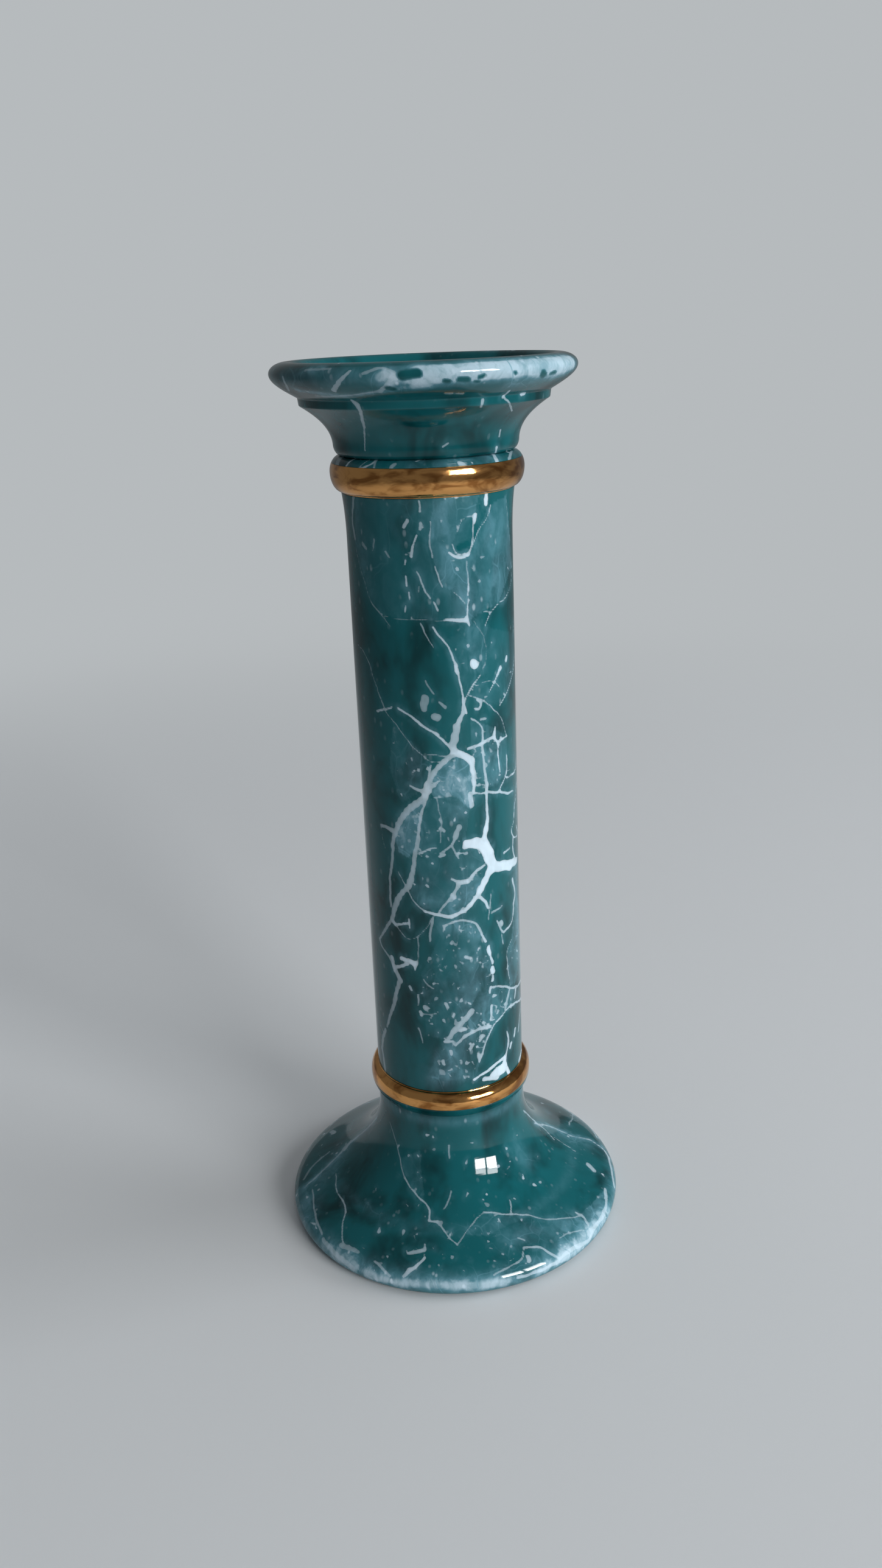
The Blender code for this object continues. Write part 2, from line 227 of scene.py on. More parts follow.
    "edge_loop": (2.5, 2.5, 0.78, (843, 1350), (838, 1366), (845, 1377), (851, 1369), (848, 1355)),
    "edge_drop": (3, 4, 0.72, (843, 1376), (842, 1398), (847, 1410)),
    "edge_shelf": (2, 5, 0.72, (776, 1303), (805, 1303), (819, 1301)),
    "edge_shelf_right": (5, 2.5, 0.75, (821, 1300), (837, 1303), (843, 1298)),
    "edge_chip": (3, 5, 0.68, (838, 1392), (829, 1401)),
    "edge_low": (5, 5, 0.60, (841, 1443), (846, 1465), (843, 1484)),
    "edge_low_turn": (4, 3, 0.64, (843, 1484), (843, 1503), (840, 1516), (829, 1532)),
    "edge_low_hook": (3, 3, 0.58, (829, 1532), (821, 1527), (816, 1514)),
    "edge_low_blob": (8, 8, 0.50, (822, 1517), (824, 1520)),
    "edge_low_arm": (3, 4, 0.46, (808, 1500), (824, 1489)),
    "edge_low_hair": (2.5, 2.5, 0.44, (806, 1471), (803, 1510)),
    "edge_tick": (2.5, 3, 0.54, (825, 1535), (827, 1551)),
    "right_stem": (2, 2.2, 0.52, (841, 1541), (832, 1564), (833, 1583), (838, 1618)),
    "right_shelf": (3, 4, 0.64, (808, 1623), (827, 1620), (848, 1624), (856, 1608)),
    "right_tooth": (7, 4, 0.60, (847, 1625), (846, 1638)),
    "right_veil": (5, 5, 0.42, (837, 1626), (830, 1659)),
    "beads_top": (3, 4, 0.60, (731, 1522), (747, 1514), (770, 1510), (786, 1518), (792, 1532)),
    "beads_a": (4, 5, 0.74, (792, 1534), (797, 1547)),
    "beads_b": (8, 6, 0.90, (802, 1557), (805, 1568)),
    "beads_c": (4, 5, 0.80, (806, 1572), (809, 1582)),
    "beads_d": (7, 8, 0.90, (809, 1590), (810, 1597)),
    "beads_e": (4, 5, 0.74, (810, 1604), (809, 1612)),
    "beads_f": (5, 3, 0.68, (807, 1622), (806, 1632)),
    "beads_g": (4, 4, 0.72, (807, 1652), (805, 1675)),
    "beads_h": (5, 5, 0.70, (802, 1682), (800, 1688)),
    "beads_left": (5, 2, 0.44, (712, 1510), (709, 1535), (706, 1547)),
    "sand_star": (7, 6, 0.60, (763, 1572), (770, 1574)),
    "sand_hook": (2, 2.5, 0.40, (696, 1608), (703, 1618), (714, 1625)),
    "sand_dot": (5, 4, 0.55, (674, 1621), (677, 1627)),
    "sand_tick": (3, 3, 0.46, (688, 1635), (688, 1652)),
    "sand_star_low": (7, 5, 0.62, (692, 1664), (693, 1669)),
    "sand_bar": (2.5, 2, 0.42, (694, 1667), (716, 1667)),
    "sand_curve": (3, 2, 0.44, (687, 1689), (695, 1714)),
    "sand_flake": (6, 5, 0.56, (733, 1650), (736, 1656)),
    "sand_flake_low": (5, 4, 0.52, (745, 1666), (743, 1671)),
    "diagonal": (4, 3, 0.72, (857, 1640), (843, 1648), (827, 1666), (811, 1685)),
    "diagonal_low": (3, 3.5, 0.62, (811, 1685), (801, 1704), (795, 1726), (788, 1744)),
    "edge_sash": (3, 4, 0.54, (857, 1640), (854, 1663), (851, 1695)),
    "strip": (8, 9, 0.50, (776, 1659), (760, 1679), (744, 1695)),
    "strip_low": (8, 5, 0.52, (744, 1695), (735, 1711)),
    "strip_foot": (5, 4, 0.62, (732, 1712), (744, 1710)),
    "strip_right": (6, 5, 0.62, (805, 1686), (779, 1691), (763, 1701)),
    "strip_right_low": (5, 3, 0.58, (763, 1701), (749, 1718)),
    "strip_dot": (7, 6, 0.74, (757, 1692), (763, 1690)),
    "low_flake": (7, 6, 0.56, (792, 1702), (789, 1709)),
    "low_flake_left": (7, 5, 0.60, (729, 1745), (731, 1750)),
    "low_tick": (5, 4, 0.60, (741, 1727), (742, 1733)),
    "low_tick_right": (5, 4, 0.58, (777, 1716), (773, 1722)),
    "low_tick_far": (5, 5, 0.60, (787, 1733), (788, 1739)),
    "corner_edge": (4, 6, 0.95, (779, 1772), (798, 1761), (812, 1751), (829, 1737)),
    "corner_fill": (15, 19, 0.95, (812, 1765), (826, 1756)),
    "corner_tip": (12, 5, 0.92, (828, 1750), (830, 1736)),
    "corner_side": (8, 6, 0.92, (832, 1756), (838, 1767)),
    "corner_foot": (9, 9, 0.85, (796, 1772), (815, 1772)),
    "corner_up": (3, 5, 0.64, (833, 1695), (837, 1710), (831, 1734)),
    "corner_dash": (7, 5, 0.66, (846, 1690), (844, 1702)),
    "corner_dash_low": (5, 5, 0.74, (840, 1713), (838, 1722)),
    "edge_patch": (9, 7, 0.86, (859, 1714), (856, 1730), (853, 1742)),
}
FOOT_VEINS = {
    "front_top": (1.4, 2.2, 0.42, (641, 1842), (649, 1868), (656, 1901), (667, 1935)),
    "front_mid": (2.2, 2.6, 0.56, (667, 1935), (682, 1964), (704, 1979), (706, 2003)),
    "front_step": (3.2, 3, 0.60, (705, 2004), (719, 2006)),
    "front_dip": (2, 2.6, 0.50, (719, 2007), (734, 2027), (752, 2045)),
    "front_rise": (2.4, 1.8, 0.44, (752, 2045), (763, 2034), (778, 2009), (795, 1993)),
    "front_shelf": (2.8, 2.2, 0.56, (795, 1993), (837, 1993), (867, 1997)),
    "front_shelf_right": (2.2, 2.2, 0.44, (867, 1997), (897, 2005), (926, 2001), (956, 1996)),
    "front_shelf_tip": (3, 2, 0.46, (839, 1992), (837, 1970)),
    "left_curl": (1.6, 3, 0.52, (552, 1927), (552, 1957), (565, 1975), (567, 1990)),
    "left_curl_low": (3, 2.2, 0.52, (567, 1990), (562, 2016), (565, 2040)),
    "left_drift": (5, 5, 0.34, (619, 1835), (604, 1853), (578, 1875)),
    "left_drift_blob": (10, 11, 0.46, (575, 1877), (566, 1887)),
    "left_drift_low": (5, 4, 0.34, (566, 1887), (549, 1905), (527, 1927), (504, 1949)),
    "left_drift_side": (4, 5, 0.28, (540, 1893), (515, 1913), (500, 1938)),
    "left_edge": (2.4, 4, 0.40, (515, 1953), (515, 1994), (528, 2027)),
    "left_patch": (10, 4, 0.36, (562, 2045), (576, 2050), (589, 2058)),
    "left_patch_low": (8, 12, 0.40, (530, 2036), (552, 2062), (578, 2084)),
    "spike_left": (4, 4, 0.42, (615, 2073), (628, 2083), (641, 2094)),
    "spike": (4, 7, 0.68, (697, 2066), (682, 2079), (672, 2086)),
    "spike_low": (6, 5, 0.60, (672, 2086), (662, 2096)),
    "spike_arm": (5, 6, 0.50, (671, 2058), (684, 2056), (697, 2052)),
    "spike_top": (5, 2, 0.46, (697, 2052), (698, 2043)),
    "right_top": (3, 3, 0.50, (860, 1824), (878, 1842), (897, 1857), (909, 1872)),
    "right_top_low": (2.2, 3, 0.42, (909, 1868), (926, 1879), (943, 1890)),
    "right_wave": (2.4, 4, 0.54, (878, 1846), (908, 1851), (937, 1866), (967, 1872)),
    "right_wave_low": (4, 5, 0.56, (967, 1872), (989, 1885), (1000, 1901)),
    "right_rim_top": (5, 5, 0.48, (1000, 1901), (1007, 1927), (1009, 1949)),
    "right_blob": (9, 8, 0.52, (967, 1914), (976, 1924)),
    "right_dot": (5, 5, 0.72, (990, 1930), (992, 1932)),
    "right_rim": (6, 6, 0.50, (993, 1953), (996, 1979), (989, 2001)),
    "right_rim_low": (7, 7, 0.52, (989, 2001), (974, 2023), (967, 2038)),
    "right_rim_end": (7, 6, 0.52, (967, 2038), (937, 2053), (915, 2074)),
    "right_rim_front": (7, 5, 0.62, (915, 2074), (885, 2088), (850, 2100)),
    "right_branch": (3, 4.5, 0.52, (944, 1990), (958, 1998), (967, 2012), (971, 2024)),
    "right_thread": (2, 2, 0.40, (919, 2034), (937, 2023), (963, 2021)),
    "right_hook": (3, 4, 0.58, (860, 2051), (882, 2047), (900, 2055), (919, 2070)),
    "right_hook_low": (2.2, 3, 0.42, (860, 2051), (858, 2068), (841, 2079), (811, 2094)),
    "right_hook_blob": (8, 7, 0.56, (866, 2066), (868, 2071)),
    "right_speck": (3, 3, 0.42, (852, 2034), (861, 2038)),
    "flare_tick": (3, 2, 0.36, (741, 1957), (736, 1975), (727, 1986)),
    "flare_dash": (3, 2, 0.36, (737, 1884), (737, 1905)),
}
CUP_VEINS = {
    "cove_top": (6, 9, 0.56, (578, 657), (588, 667)),
    "cove_line": (8, 3, 0.56, (588, 666), (593, 680), (596, 700)),
    "cove_line_low": (3, 2.5, 0.54, (596, 700), (597, 720), (599, 740)),
    "bead_left": (3, 5, 0.62, (619, 756), (606, 763), (590, 770)),
    "mouth_left": (5, 5, 0.75, (496, 595), (513, 595), (526, 593)),
    "mouth_dash": (4, 5, 0.72, (557, 597), (568, 595)),
    "mouth_star": (3, 6, 0.80, (570, 593), (602, 590), (612, 587), (620, 594)),
    "lip_slant": (4, 8, 0.52, (575, 610), (560, 623), (548, 642)),
    "lip_far_left": (6, 5, 0.40, (466, 620), (475, 643)),
    "lip_cloud": (5, 4, 0.24, (502, 608), (544, 605)),
    "lip_under": (4, 6, 0.26, (520, 652), (568, 650), (623, 643)),
    "lip_under_right": (7, 6, 0.36, (623, 643), (637, 630), (647, 612)),
    "lip_arc": (5, 5, 0.34, (595, 615), (623, 605), (643, 608), (650, 622)),
    "under_slant": (4, 5, 0.72, (826, 653), (836, 643)),
    "under_curve": (3, 3, 0.54, (829, 656), (836, 664), (840, 676)),
    "under_blob": (7, 6, 0.64, (856, 649), (862, 646)),
    "under_dash": (5, 4, 0.54, (793, 654), (790, 668)),
    "cove_dash": (5, 4, 0.62, (814, 736), (813, 744)),
    "cove_fleck": (4, 3, 0.48, (821, 708), (819, 718)),
    "cove_mark": (4, 3, 0.42, (728, 733), (737, 727)),
    "mouth_vein": (3, 3, 0.62, (826, 576), (821, 587)),
    "mouth_vein_right": (4, 4, 0.56, (868, 574), (857, 585)),
}

# Dark spots in the milk of the lip, and a dark hollow in the shaft: width in pixels, then route
DARK_SPOTS = {
    "lip_a": (11, (636, 637), (645, 639)),
    "lip_b": (10, (754, 624), (766, 624)),
    "lip_c": (8, (730, 626), (736, 626)),
    "lip_d": (7, (786, 618), (794, 616)),
    "lip_e": (6, (779, 625), (784, 626)),
    "lip_f": (13, (892, 613), (895, 615)),
    "lip_g": (6, (846, 611), (848, 613)),
    "lip_h": (7, (906, 612), (912, 610)),
    "lip_green": (16, (660, 616), (684, 612)),
    "shaft_hollow": (12, (755, 897), (768, 893)),
    "shaft_cell": (12, (842, 1204), (842, 1262)),
}

# Pale panes of the marbling: strength, number of specks, then the corners in pixels
PALE_PANES = {
    "upper": (0.11, 8, (586, 806), (583, 885), (592, 940), (607, 985), (625, 1008), (658, 1018),
              (731, 1019), (769, 1017), (769, 915), (778, 851), (800, 806)),
    "centre": (0.29, 10, (706, 864), (711, 915), (727, 964), (745, 972), (769, 995), (769, 915),
               (760, 915), (738, 907), (750, 873), (757, 854), (779, 847), (790, 806), (712, 806)),
    "right": (0.26, 4, (785, 873), (800, 835), (832, 812), (841, 928), (817, 995), (770, 1017),
              (769, 915)),
    "middle": (0.08, 14, (731, 1055), (770, 1030), (798, 1030), (845, 1040), (843, 1106),
               (822, 1160), (771, 1143), (760, 1141), (749, 1097)),
    "heart": (0.54, 26, (744, 1243), (760, 1240), (774, 1252), (779, 1290), (774, 1330),
              (745, 1307), (714, 1312), (703, 1297), (709, 1278), (725, 1258)),
    "net": (0.18, 34, (774, 1179), (832, 1208), (833, 1272), (800, 1300), (779, 1290), (774, 1250)),
    "left": (0.13, 10, (645, 1183), (709, 1259), (703, 1295), (660, 1320), (640, 1260)),
    "pouch": (0.50, 12, (698, 1312), (680, 1323), (664, 1337), (653, 1353), (648, 1372),
              (655, 1400), (672, 1410), (683, 1400), (687, 1376), (689, 1350)),
    "round": (0.13, 46, (689, 1350), (699, 1315), (714, 1312), (770, 1330), (765, 1380),
              (790, 1400), (806, 1425), (795, 1449), (786, 1468), (763, 1497), (728, 1506),
              (699, 1498), (671, 1468), (680, 1433), (687, 1390)),
    "bowl": (0.26, 12, (795, 1445), (786, 1468), (763, 1497), (744, 1506), (722, 1500), (731, 1484),
             (752, 1452), (779, 1433)),
    "sand": (0.08, 90, (731, 1522), (770, 1510), (792, 1532), (808, 1577), (807, 1628), (779, 1640),
             (760, 1679), (735, 1710), (700, 1700), (693, 1600), (712, 1560)),
    "sash": (0.14, 60, (807, 1640), (840, 1650), (811, 1685), (795, 1726), (779, 1771), (735, 1775),
             (700, 1770), (735, 1712), (776, 1655)),
    "right_strip": (0.20, 14, (832, 1564), (838, 1618), (856, 1608), (858, 1500), (846, 1465),
                    (841, 1541)),
    "right_low": (0.18, 14, (808, 1623), (856, 1626), (856, 1640), (811, 1685), (800, 1660)),
    "foot_left": (0.29, 16, (619, 1835), (567, 1886), (504, 1949), (515, 1994), (535, 2040),
                  (589, 2058), (586, 2100), (500, 2050), (480, 1960), (520, 1880), (570, 1850)),
    "foot_shard": (0.12, 4, (656, 1901), (690, 1890), (697, 1964), (682, 1964)),
    "foot_shard_low": (0.12, 6, (795, 1993), (867, 1997), (800, 2030), (767, 2030)),
    "foot_right": (0.25, 22, (926, 2001), (956, 1996), (993, 1953), (1005, 1990), (967, 2060),
                   (915, 2078), (919, 2034)),
    "foot_flare": (0.0, 46, (650, 1850), (840, 1850), (930, 1950), (880, 2050), (640, 2050),
                   (560, 1950)),
    "foot_front": (0.0, 26, (560, 2040), (640, 2050), (880, 2050), (860, 2100), (620, 2095)),
}

# Milky drifts as pixels, with two painted reflections among them: radius in mm, strength, then the
# route
MILK_AND_REFLECTION_DRIFTS = {
    "heart": (4.0, 0.52, (735, 1290), (755, 1275), (760, 1310)),
    "pouch": (4.0, 0.52, (672, 1352), (665, 1385)),
    "round_low": (3.5, 0.35, (770, 1470), (740, 1488), (700, 1476)),
    "net": (3.5, 0.35, (795, 1250), (812, 1270)),
    "upper": (4.5, 0.27, (725, 830), (735, 900), (748, 950), (760, 1000)),
    "upper_right": (5.0, 0.29, (812, 860), (815, 960)),
    "upper_low": (4.5, 0.26, (775, 1040), (785, 1075)),
    "sand_top": (3.0, 0.40, (731, 1524), (760, 1516), (782, 1535)),
    "sand": (5.0, 0.25, (765, 1575), (775, 1610), (762, 1640)),
    "sash": (3.5, 0.42, (796, 1648), (770, 1690), (748, 1730)),
    "low": (4.0, 0.46, (730, 1742), (760, 1765), (715, 1770)),
    # Painted reflection: a pale rim along the shaft's right edge, where the glass mirrors bright
    # light
    "shaft_edge_reflection": (2.6, 0.42, (848, 1420), (850, 1500), (853, 1560), (856, 1600)),
    "left_edge": (2.4, 0.22, (585, 830), (592, 900), (606, 970)),
    "lip_white": (2.8, 0.95, (676, 625), (790, 614), (880, 606), (940, 594)),
    "lip_crest": (2.2, 0.85, (684, 606), (800, 600), (880, 592), (930, 586)),
    "lip_patch": (2.0, 0.72, (622, 622), (634, 612), (646, 620), (640, 630)),
    "lip_band": (1.2, 0.58, (488, 641), (530, 648), (575, 650), (620, 645), (660, 638), (705, 634)),
    "lip_far": (1.6, 0.36, (496, 612), (512, 607), (530, 604)),
    "lip_right_under": (2.5, 0.45, (840, 632), (900, 622), (930, 610)),
    "foot_left": (4.5, 0.34, (610, 1842), (560, 1895), (520, 1945), (508, 1990)),
    "foot_front_left": (4.0, 0.44, (535, 2045), (565, 2068), (600, 2088)),
    "foot_front": (2.8, 0.56, (610, 2098), (680, 2108), (760, 2112), (830, 2106)),
    "foot_right": (3.6, 0.44, (890, 2084), (950, 2045), (985, 1995)),
    "foot_right_mid": (4.5, 0.34, (940, 2005), (900, 2022), (840, 2036)),
    "foot_back_right": (4.0, 0.26, (905, 1856), (960, 1878)),
    "foot_left_band": (1.7, 0.52, (619, 1835), (604, 1853), (578, 1875), (566, 1887), (549, 1905),
                       (527, 1927), (504, 1949)),
    "foot_right_band": (1.5, 0.46, (878, 1846), (908, 1851), (937, 1866), (967, 1872), (989, 1885)),
    # Painted reflection: a soft pale patch on the right of the foot's flare, where a soft lamp
    # mirrors
    "foot_flare_reflection": (4.0, 0.26, (862, 1905), (850, 1885)),
}

# The room round the object: its colour, and its strength as light, where seen and where mirrored
ROOM_COLOUR = (0.92, 0.97, 1.0, 1.0)
ROOM_LIGHT, ROOM_SEEN, ROOM_MIRRORED = 0.12, 0.39, 0.06
# The floor and its backdrop in metres, and the distances between which they fade into the room
SWEEP = {"half_width": 6.0, "front": -6.0, "back": 1.6, "height": 2.6, "bend_radius": 0.8}
FLOOR_FADE = (0.30, 1.05)
FLOOR_ROUGHNESS = 0.75

# Two windows by bearing in degrees: distance and height of the middle, width and height, watts
DAYLIGHT = (0.97, 0.99, 1.0)
WINDOW_BEARINGS = {"left": 33.8, "right": 49.2}
WINDOW_AWAY, WINDOW_HEIGHT = 3.2, 1.2
WINDOW_SIZE, WINDOW_WATTS = (0.76, 1.26), 38.0
# Bright panes in front of each window, which only show as reflections: distance and width, then
# height of the middle, height of the pane and watts
GLINT_AWAY, GLINT_WIDTH = 3.14, 0.72
GLINTS = {"low": (0.97, 0.80, 80.0), "high": (1.63, 0.40, 10.0)}
# Two soft panels: place, side, watts and colour, and where they look
PANELS = {
    "side_panel": ((3.0, 0.1, 1.1), 2.0, 60.0, (0.93, 0.97, 1.0)),
    "top_panel": ((0.3, 0.2, 2.2), 2.4, 11.0, (0.96, 0.98, 1.0)),
}
PANEL_TARGET = (0.0, 0.0, 0.15)

# Handles of the curves in the sections, as shares of the lengths that each curve spans
FLARE_START, FLARE_END = 0.48, (0.72, 0.19)
DISC_START, DISC_END = (0.50, 0.13), 0.40
SHAFT_START, SHAFT_END = (0.3, 0.3), 0.7
DISH_START, DISH_END = 0.46, (0.18, 0.32)
LIP_START, LIP_END = 0.36, (0.53, 0.35)
COVE_START, COVE_END = (0.46, 0.24), (0.05, 0.45)
# Angles at which the beads and the groove stop, short of the full quarter
BEAD_STOP, GROOVE_STOP = 88, 80

# Corners that turn by more degrees are softened in steps, over at most a share of their sides
SHARP_TURN, CORNER_SHARE, CORNER_STEPS = 24.0, 0.4, 6
# Share of that softening on the gilt collars
GILT_ROUND = 0.6
# Points closer than this, in metres, are one point, and stretches that rise less are level
SAME_POINT, LEVEL_RISE = 1e-7, 1e-9
# Least divisor
GUARD = 1e-16

# Faces round each piece, and the share by which they crowd towards the photographed side
COLUMNS = {"foot": 384, "shaft": 264, "cup": 360, "gilt": 288}
FRONT_CROWDING = 0.45
# Steps between rows of faces in metres: fine where the marbling shows, coarse out of sight
ROW_STEP = {"foot": 0.0005, "shaft": 0.0006, "cup": 0.0006, "dish": 0.0016, "gilt": 0.0006}
HIDDEN_STEP = {"foot": 0.004, "shaft": 0.012, "cup": 0.004}
# Rows of the shaft within this depth of its radius are on its outside
SHAFT_MARGIN = 0.0005
# Every third point of the foot's outside is enough for its hollow
HOLLOW_THINNING = 3
# Number of heights at which the outline is read
LADDER_STEPS = 1501
# Stretch of each ray that is searched, in metres, and the number of steps on it
RAY_NEAR, RAY_FAR, RAY_STEPS = 0.30, 0.60, 3001
# Rounds of corner cutting that smooth a route
CORNER_CUTS = 3

# The side that the photograph does not show repeats the veins, turned by these degrees
FAR_TURN = 166.0
# Depth y where that repeat starts on each piece, and the length over which it fades in, in metres
FAR_EDGE = {"shaft": -0.004, "foot": 0.014, "cup": -0.004}
FAR_FADE = 0.004
# The dish repeats the veins of the shaft about a height, with its width and depth scaled, inside
# a radius with a soft edge, on faces whose normals rise more than a limit
DISH_HEIGHT, DISH_SCALES = 0.140, (0.6, 1.1)
DISH_RADIUS, DISH_FADE, DISH_UPWARD = 0.037, 0.008, 0.2

# Veins: blend in mm, limits of its exponents, and reach in metres
VEIN_BLEND, VEIN_LIMITS, VEIN_REACH = 0.18, (-30.0, 20.0), 0.006
# Drifts reach this many radii; dark spots end over a rim in mm
DRIFT_REACH, SPOT_RIM = 2.5, 0.6
# Shakes of the marbling: size and amount in metres
SHAKES = ((0.0026, 0.00010), (0.009, 0.00022))
# Waves of a shake along each axis: wave numbers along x, y and z, then the phase
SHAKE_WAVES = (
    (((0.0, 1.7, 2.3), 0.4), ((-3.3, 0.0, 4.1), 1.9)),
    (((-2.1, 0.0, 1.9), 2.2), ((3.7, 4.3, 0.0), 0.7)),
    (((2.2, 1.6, 0.0), 4.0), ((0.0, 3.9, -3.1), 2.8)),
)
# Share of the second wave
SECOND_WAVE = 0.6
# Swelling of the veins along their way: mean, then amount and wave numbers per metre
SWELL_MEAN = 1.04
SWELLS = ((0.09, (610.0, 540.0, 470.0)), (0.11, (1900.0, -1500.0, 1700.0)))
# Specks: tries for each one, spread of their length, shape and scale of their width in pixels,
# range of their whiteness, and half width in mm of their thin end
SPECK_SEED = 5
SPECK_TRIES = 6
SPECK_LENGTH = 3.2
SPECK_WIDTH = (3.0, 0.85)
SPECK_TONES = (0.25, 0.68)
SPECK_END = 0.1

# Milk along the edges of foot and lip: inner radius, lowest and highest height, strength
FOOT_RIM = (0.0545, 0.0, 0.011, 0.52)
LIP_RIM = (0.043, 0.288, 0.299, 0.45)
# Share all round, share that comes and goes as painted light, and bearing in degrees of its lit
# side
RIM_EVEN, RIM_LIGHT_SHARE, RIM_LIGHT_BEARING = 0.62, 0.38, -50.0
# Pale rings of the foot: strength, middle and half width; where the neck and the flare start
NECK_RING, NECK_FROM = (0.26, 0.0462, 0.0020), 0.025
FLARE_RING, FLARE_FROM = (0.13, 0.0445, 0.0018), 0.010

# Noise of the glass: scale, detail, roughness, twist
GLASS_NOISE = {
    "ragged": (1500.0, 2.0), "clouds": (70.0, 3.0, 0.5, 0.4), "wisps": (260.0, 4.0, 0.52, 0.7),
    "curds": (640.0, 3.0, 0.6, 0.4), "crack_fade": (55.0, 2.0), "fleck_fade": (150.0, 2.0),
    "pit_fade": (200.0, 1.0), "gloss": (400.0, 3.0), "ripple": (38.0, 2.0),
}
# Limits between which each pattern of the glass rises from none to full
GLASS_RISE = {
    "depth": (0.24, 0.62), "wisps": (0.32, 0.66), "curds": (0.48, 0.68), "dense": (0.50, 1.00),
    "haze": (-2.2, 0.1), "haze_wisps": (0.35, 0.75), "bright": (0.52, 1.04),
    "cracks": (0.003, 0.022), "crack_fade": (0.45, 0.62), "flecks": (0.10, 0.26),
    "fleck_fade": (0.48, 0.64), "line": (-0.12, 0.12), "core": (0.0, 0.75),
    "pits": (0.05, 0.09), "pit_fade": (0.60, 0.66),
}
# Shares of the patterns in the glass
GLASS_SHARE = {
    "torn": 0.44, "torn_wisps": 0.50, "torn_curds": 0.12, "dense": 0.90, "dense_milk": 0.6,
    "haze": 0.35, "bright": 0.72, "cracks": 0.8, "flecks": 0.07, "fleck_milk": 0.9,
    "line_ragged": 0.24, "core_ragged": 0.30, "veil": 0.80, "veil_core": 0.20,
    "veil_thin": 0.72, "veil_wisps": 0.5, "pits": 0.8,
}
# Scales along x, y and z that draw the patterns out along the axis
GLASS_TALL = (1.0, 1.0, 0.55)
# Number of hairline cells in a metre, scale of the noise that bends them and its shift in metres
CRACK_CELLS, CRACK_TWIST, CRACK_SHIFT = 95.0, 90.0, (0.006, 0.006, 0.006)
# Number of flecks and of pits in a metre
FLECK_CELLS = PIT_CELLS = 330.0
# Least roughness and its share of noise; strength and height in metres of a bump
GLASS_ROUGHNESS, GLASS_BUMP, GLASS_IOR = (0.03, 0.04), (0.06, 0.0006), 1.35
# The same for the gilding: scales, noise, limits of the painted dark reflections, roughness and
# bump
GILT_STRETCH = (0.7, 0.7, 1.8)
GILT_NOISE = {"reflection_patches": (150.0, 3.0, 0.55, 0.5), "gloss": (700.0, 3.0), "waves": (130.0, 3.0)}
GILT_REFLECTION_RISE, GILT_ROUGHNESS, GILT_BUMP = (0.44, 0.66), (0.05, 0.10), (0.22, 0.0006)


def put(name, description, value):
    """A length property in metres."""
    return FloatProperty(name=name, description=description, default=value, unit="LENGTH",
                         precision=5)


def tint(name, description, *value):
    """A colour property: red, green and blue, opaque."""
    return FloatVectorProperty(name=name, description=description, default=(*value, 1.0), size=4,
                               subtype="COLOR")


class CandlestickSizes(bpy.types.PropertyGroup):
    """Lengths of the turned sections."""
    foot_edge_rise: put("Foot edge rise", "Height of the widest line of the foot", 0.0042)
    foot_edge_inset: put("Foot edge inset", "Rounding under the foot's edge", 0.0032)
    rest_ring: put("Rest ring", "Width of the flat ring under the foot", 0.0063)
    disc_radius: put("Disc radius", "Where the flare turns into the outer disc", 0.0460)
    disc_height: put("Disc height", "Height of that turn", 0.0145)
    neck_radius: put("Neck radius", "Narrowest part of the foot", 0.0264)
    neck_height: put("Neck height", "Where the flare starts", 0.0430)
    foot_shoulder: put("Foot shoulder", "Height of the foot under its collar", 0.0525)
    foot_wall: put("Foot wall", "Thickness of the foot's flare", 0.0060)
    hollow_lip: put("Hollow lip", "Height of the straight start of the hollow", 0.0045)
    spigot_wall: put("Spigot wall", "Thickness of the foot's spigot", 0.0045)
    joint_gap: put("Joint gap", "Cement film between sections", 0.0003)
    lower_rise: put("Lower bead rise", "Lower bead above its crest", 0.0040)
    lower_drop: put("Lower bead drop", "Lower bead below its crest", 0.0052)
    shaft_radius: put("Shaft radius", "Outside of the straight shaft", 0.0262)
    shaft_wall: put("Shaft wall", "Thickness of the shaft", 0.0045)
    shaft_flare: put("Shaft flare", "Length of the flare under the upper collar", 0.0140)
    upper_rise: put("Upper bead rise", "Upper bead above its crest", 0.0050)
    upper_drop: put("Upper bead drop", "Upper bead below its crest", 0.0058)
    groove_radius: put("Groove radius", "Groove over the upper bead", 0.0266)
    groove_round: put("Groove round", "Rise of the round over the groove", 0.0035)
    cove_foot: put("Cove foot radius", "Lower end of the cove", 0.0288)
    cove_top: put("Cove top radius", "Upper end of the cove", 0.0384)
    cove_rise: put("Cove rise", "Height of the cove", 0.0116)
    step_radius: put("Step radius", "Small step under the lip", 0.0387)
    step_rise: put("Step rise", "Height of the step", 0.0023)
    lip_underside: put("Lip underside", "Rise of the lip's underside", 0.0071)
    lip_crest_rise: put("Lip crest rise", "Rise from widest line to crest", 0.0034)
    lip_crest_inset: put("Lip crest inset", "From widest line in to the crest", 0.0055)
    lip_inner_drop: put("Lip inner drop", "Inside round of the lip, down", 0.0032)
    lip_inner_inset: put("Lip inner inset", "Inside round of the lip, in", 0.0033)
    dish_depth: put("Dish depth", "From crest to candle seat", 0.0180)
    seat_radius: put("Seat radius", "Flat seat in the dish", 0.0240)
    socket_radius: put("Socket radius", "Taper socket", 0.0115)
    socket_depth: put("Socket depth", "Depth of the taper socket", 0.0220)
    edge_round: put("Edge round", "Softening of every turned corner", 0.00035)


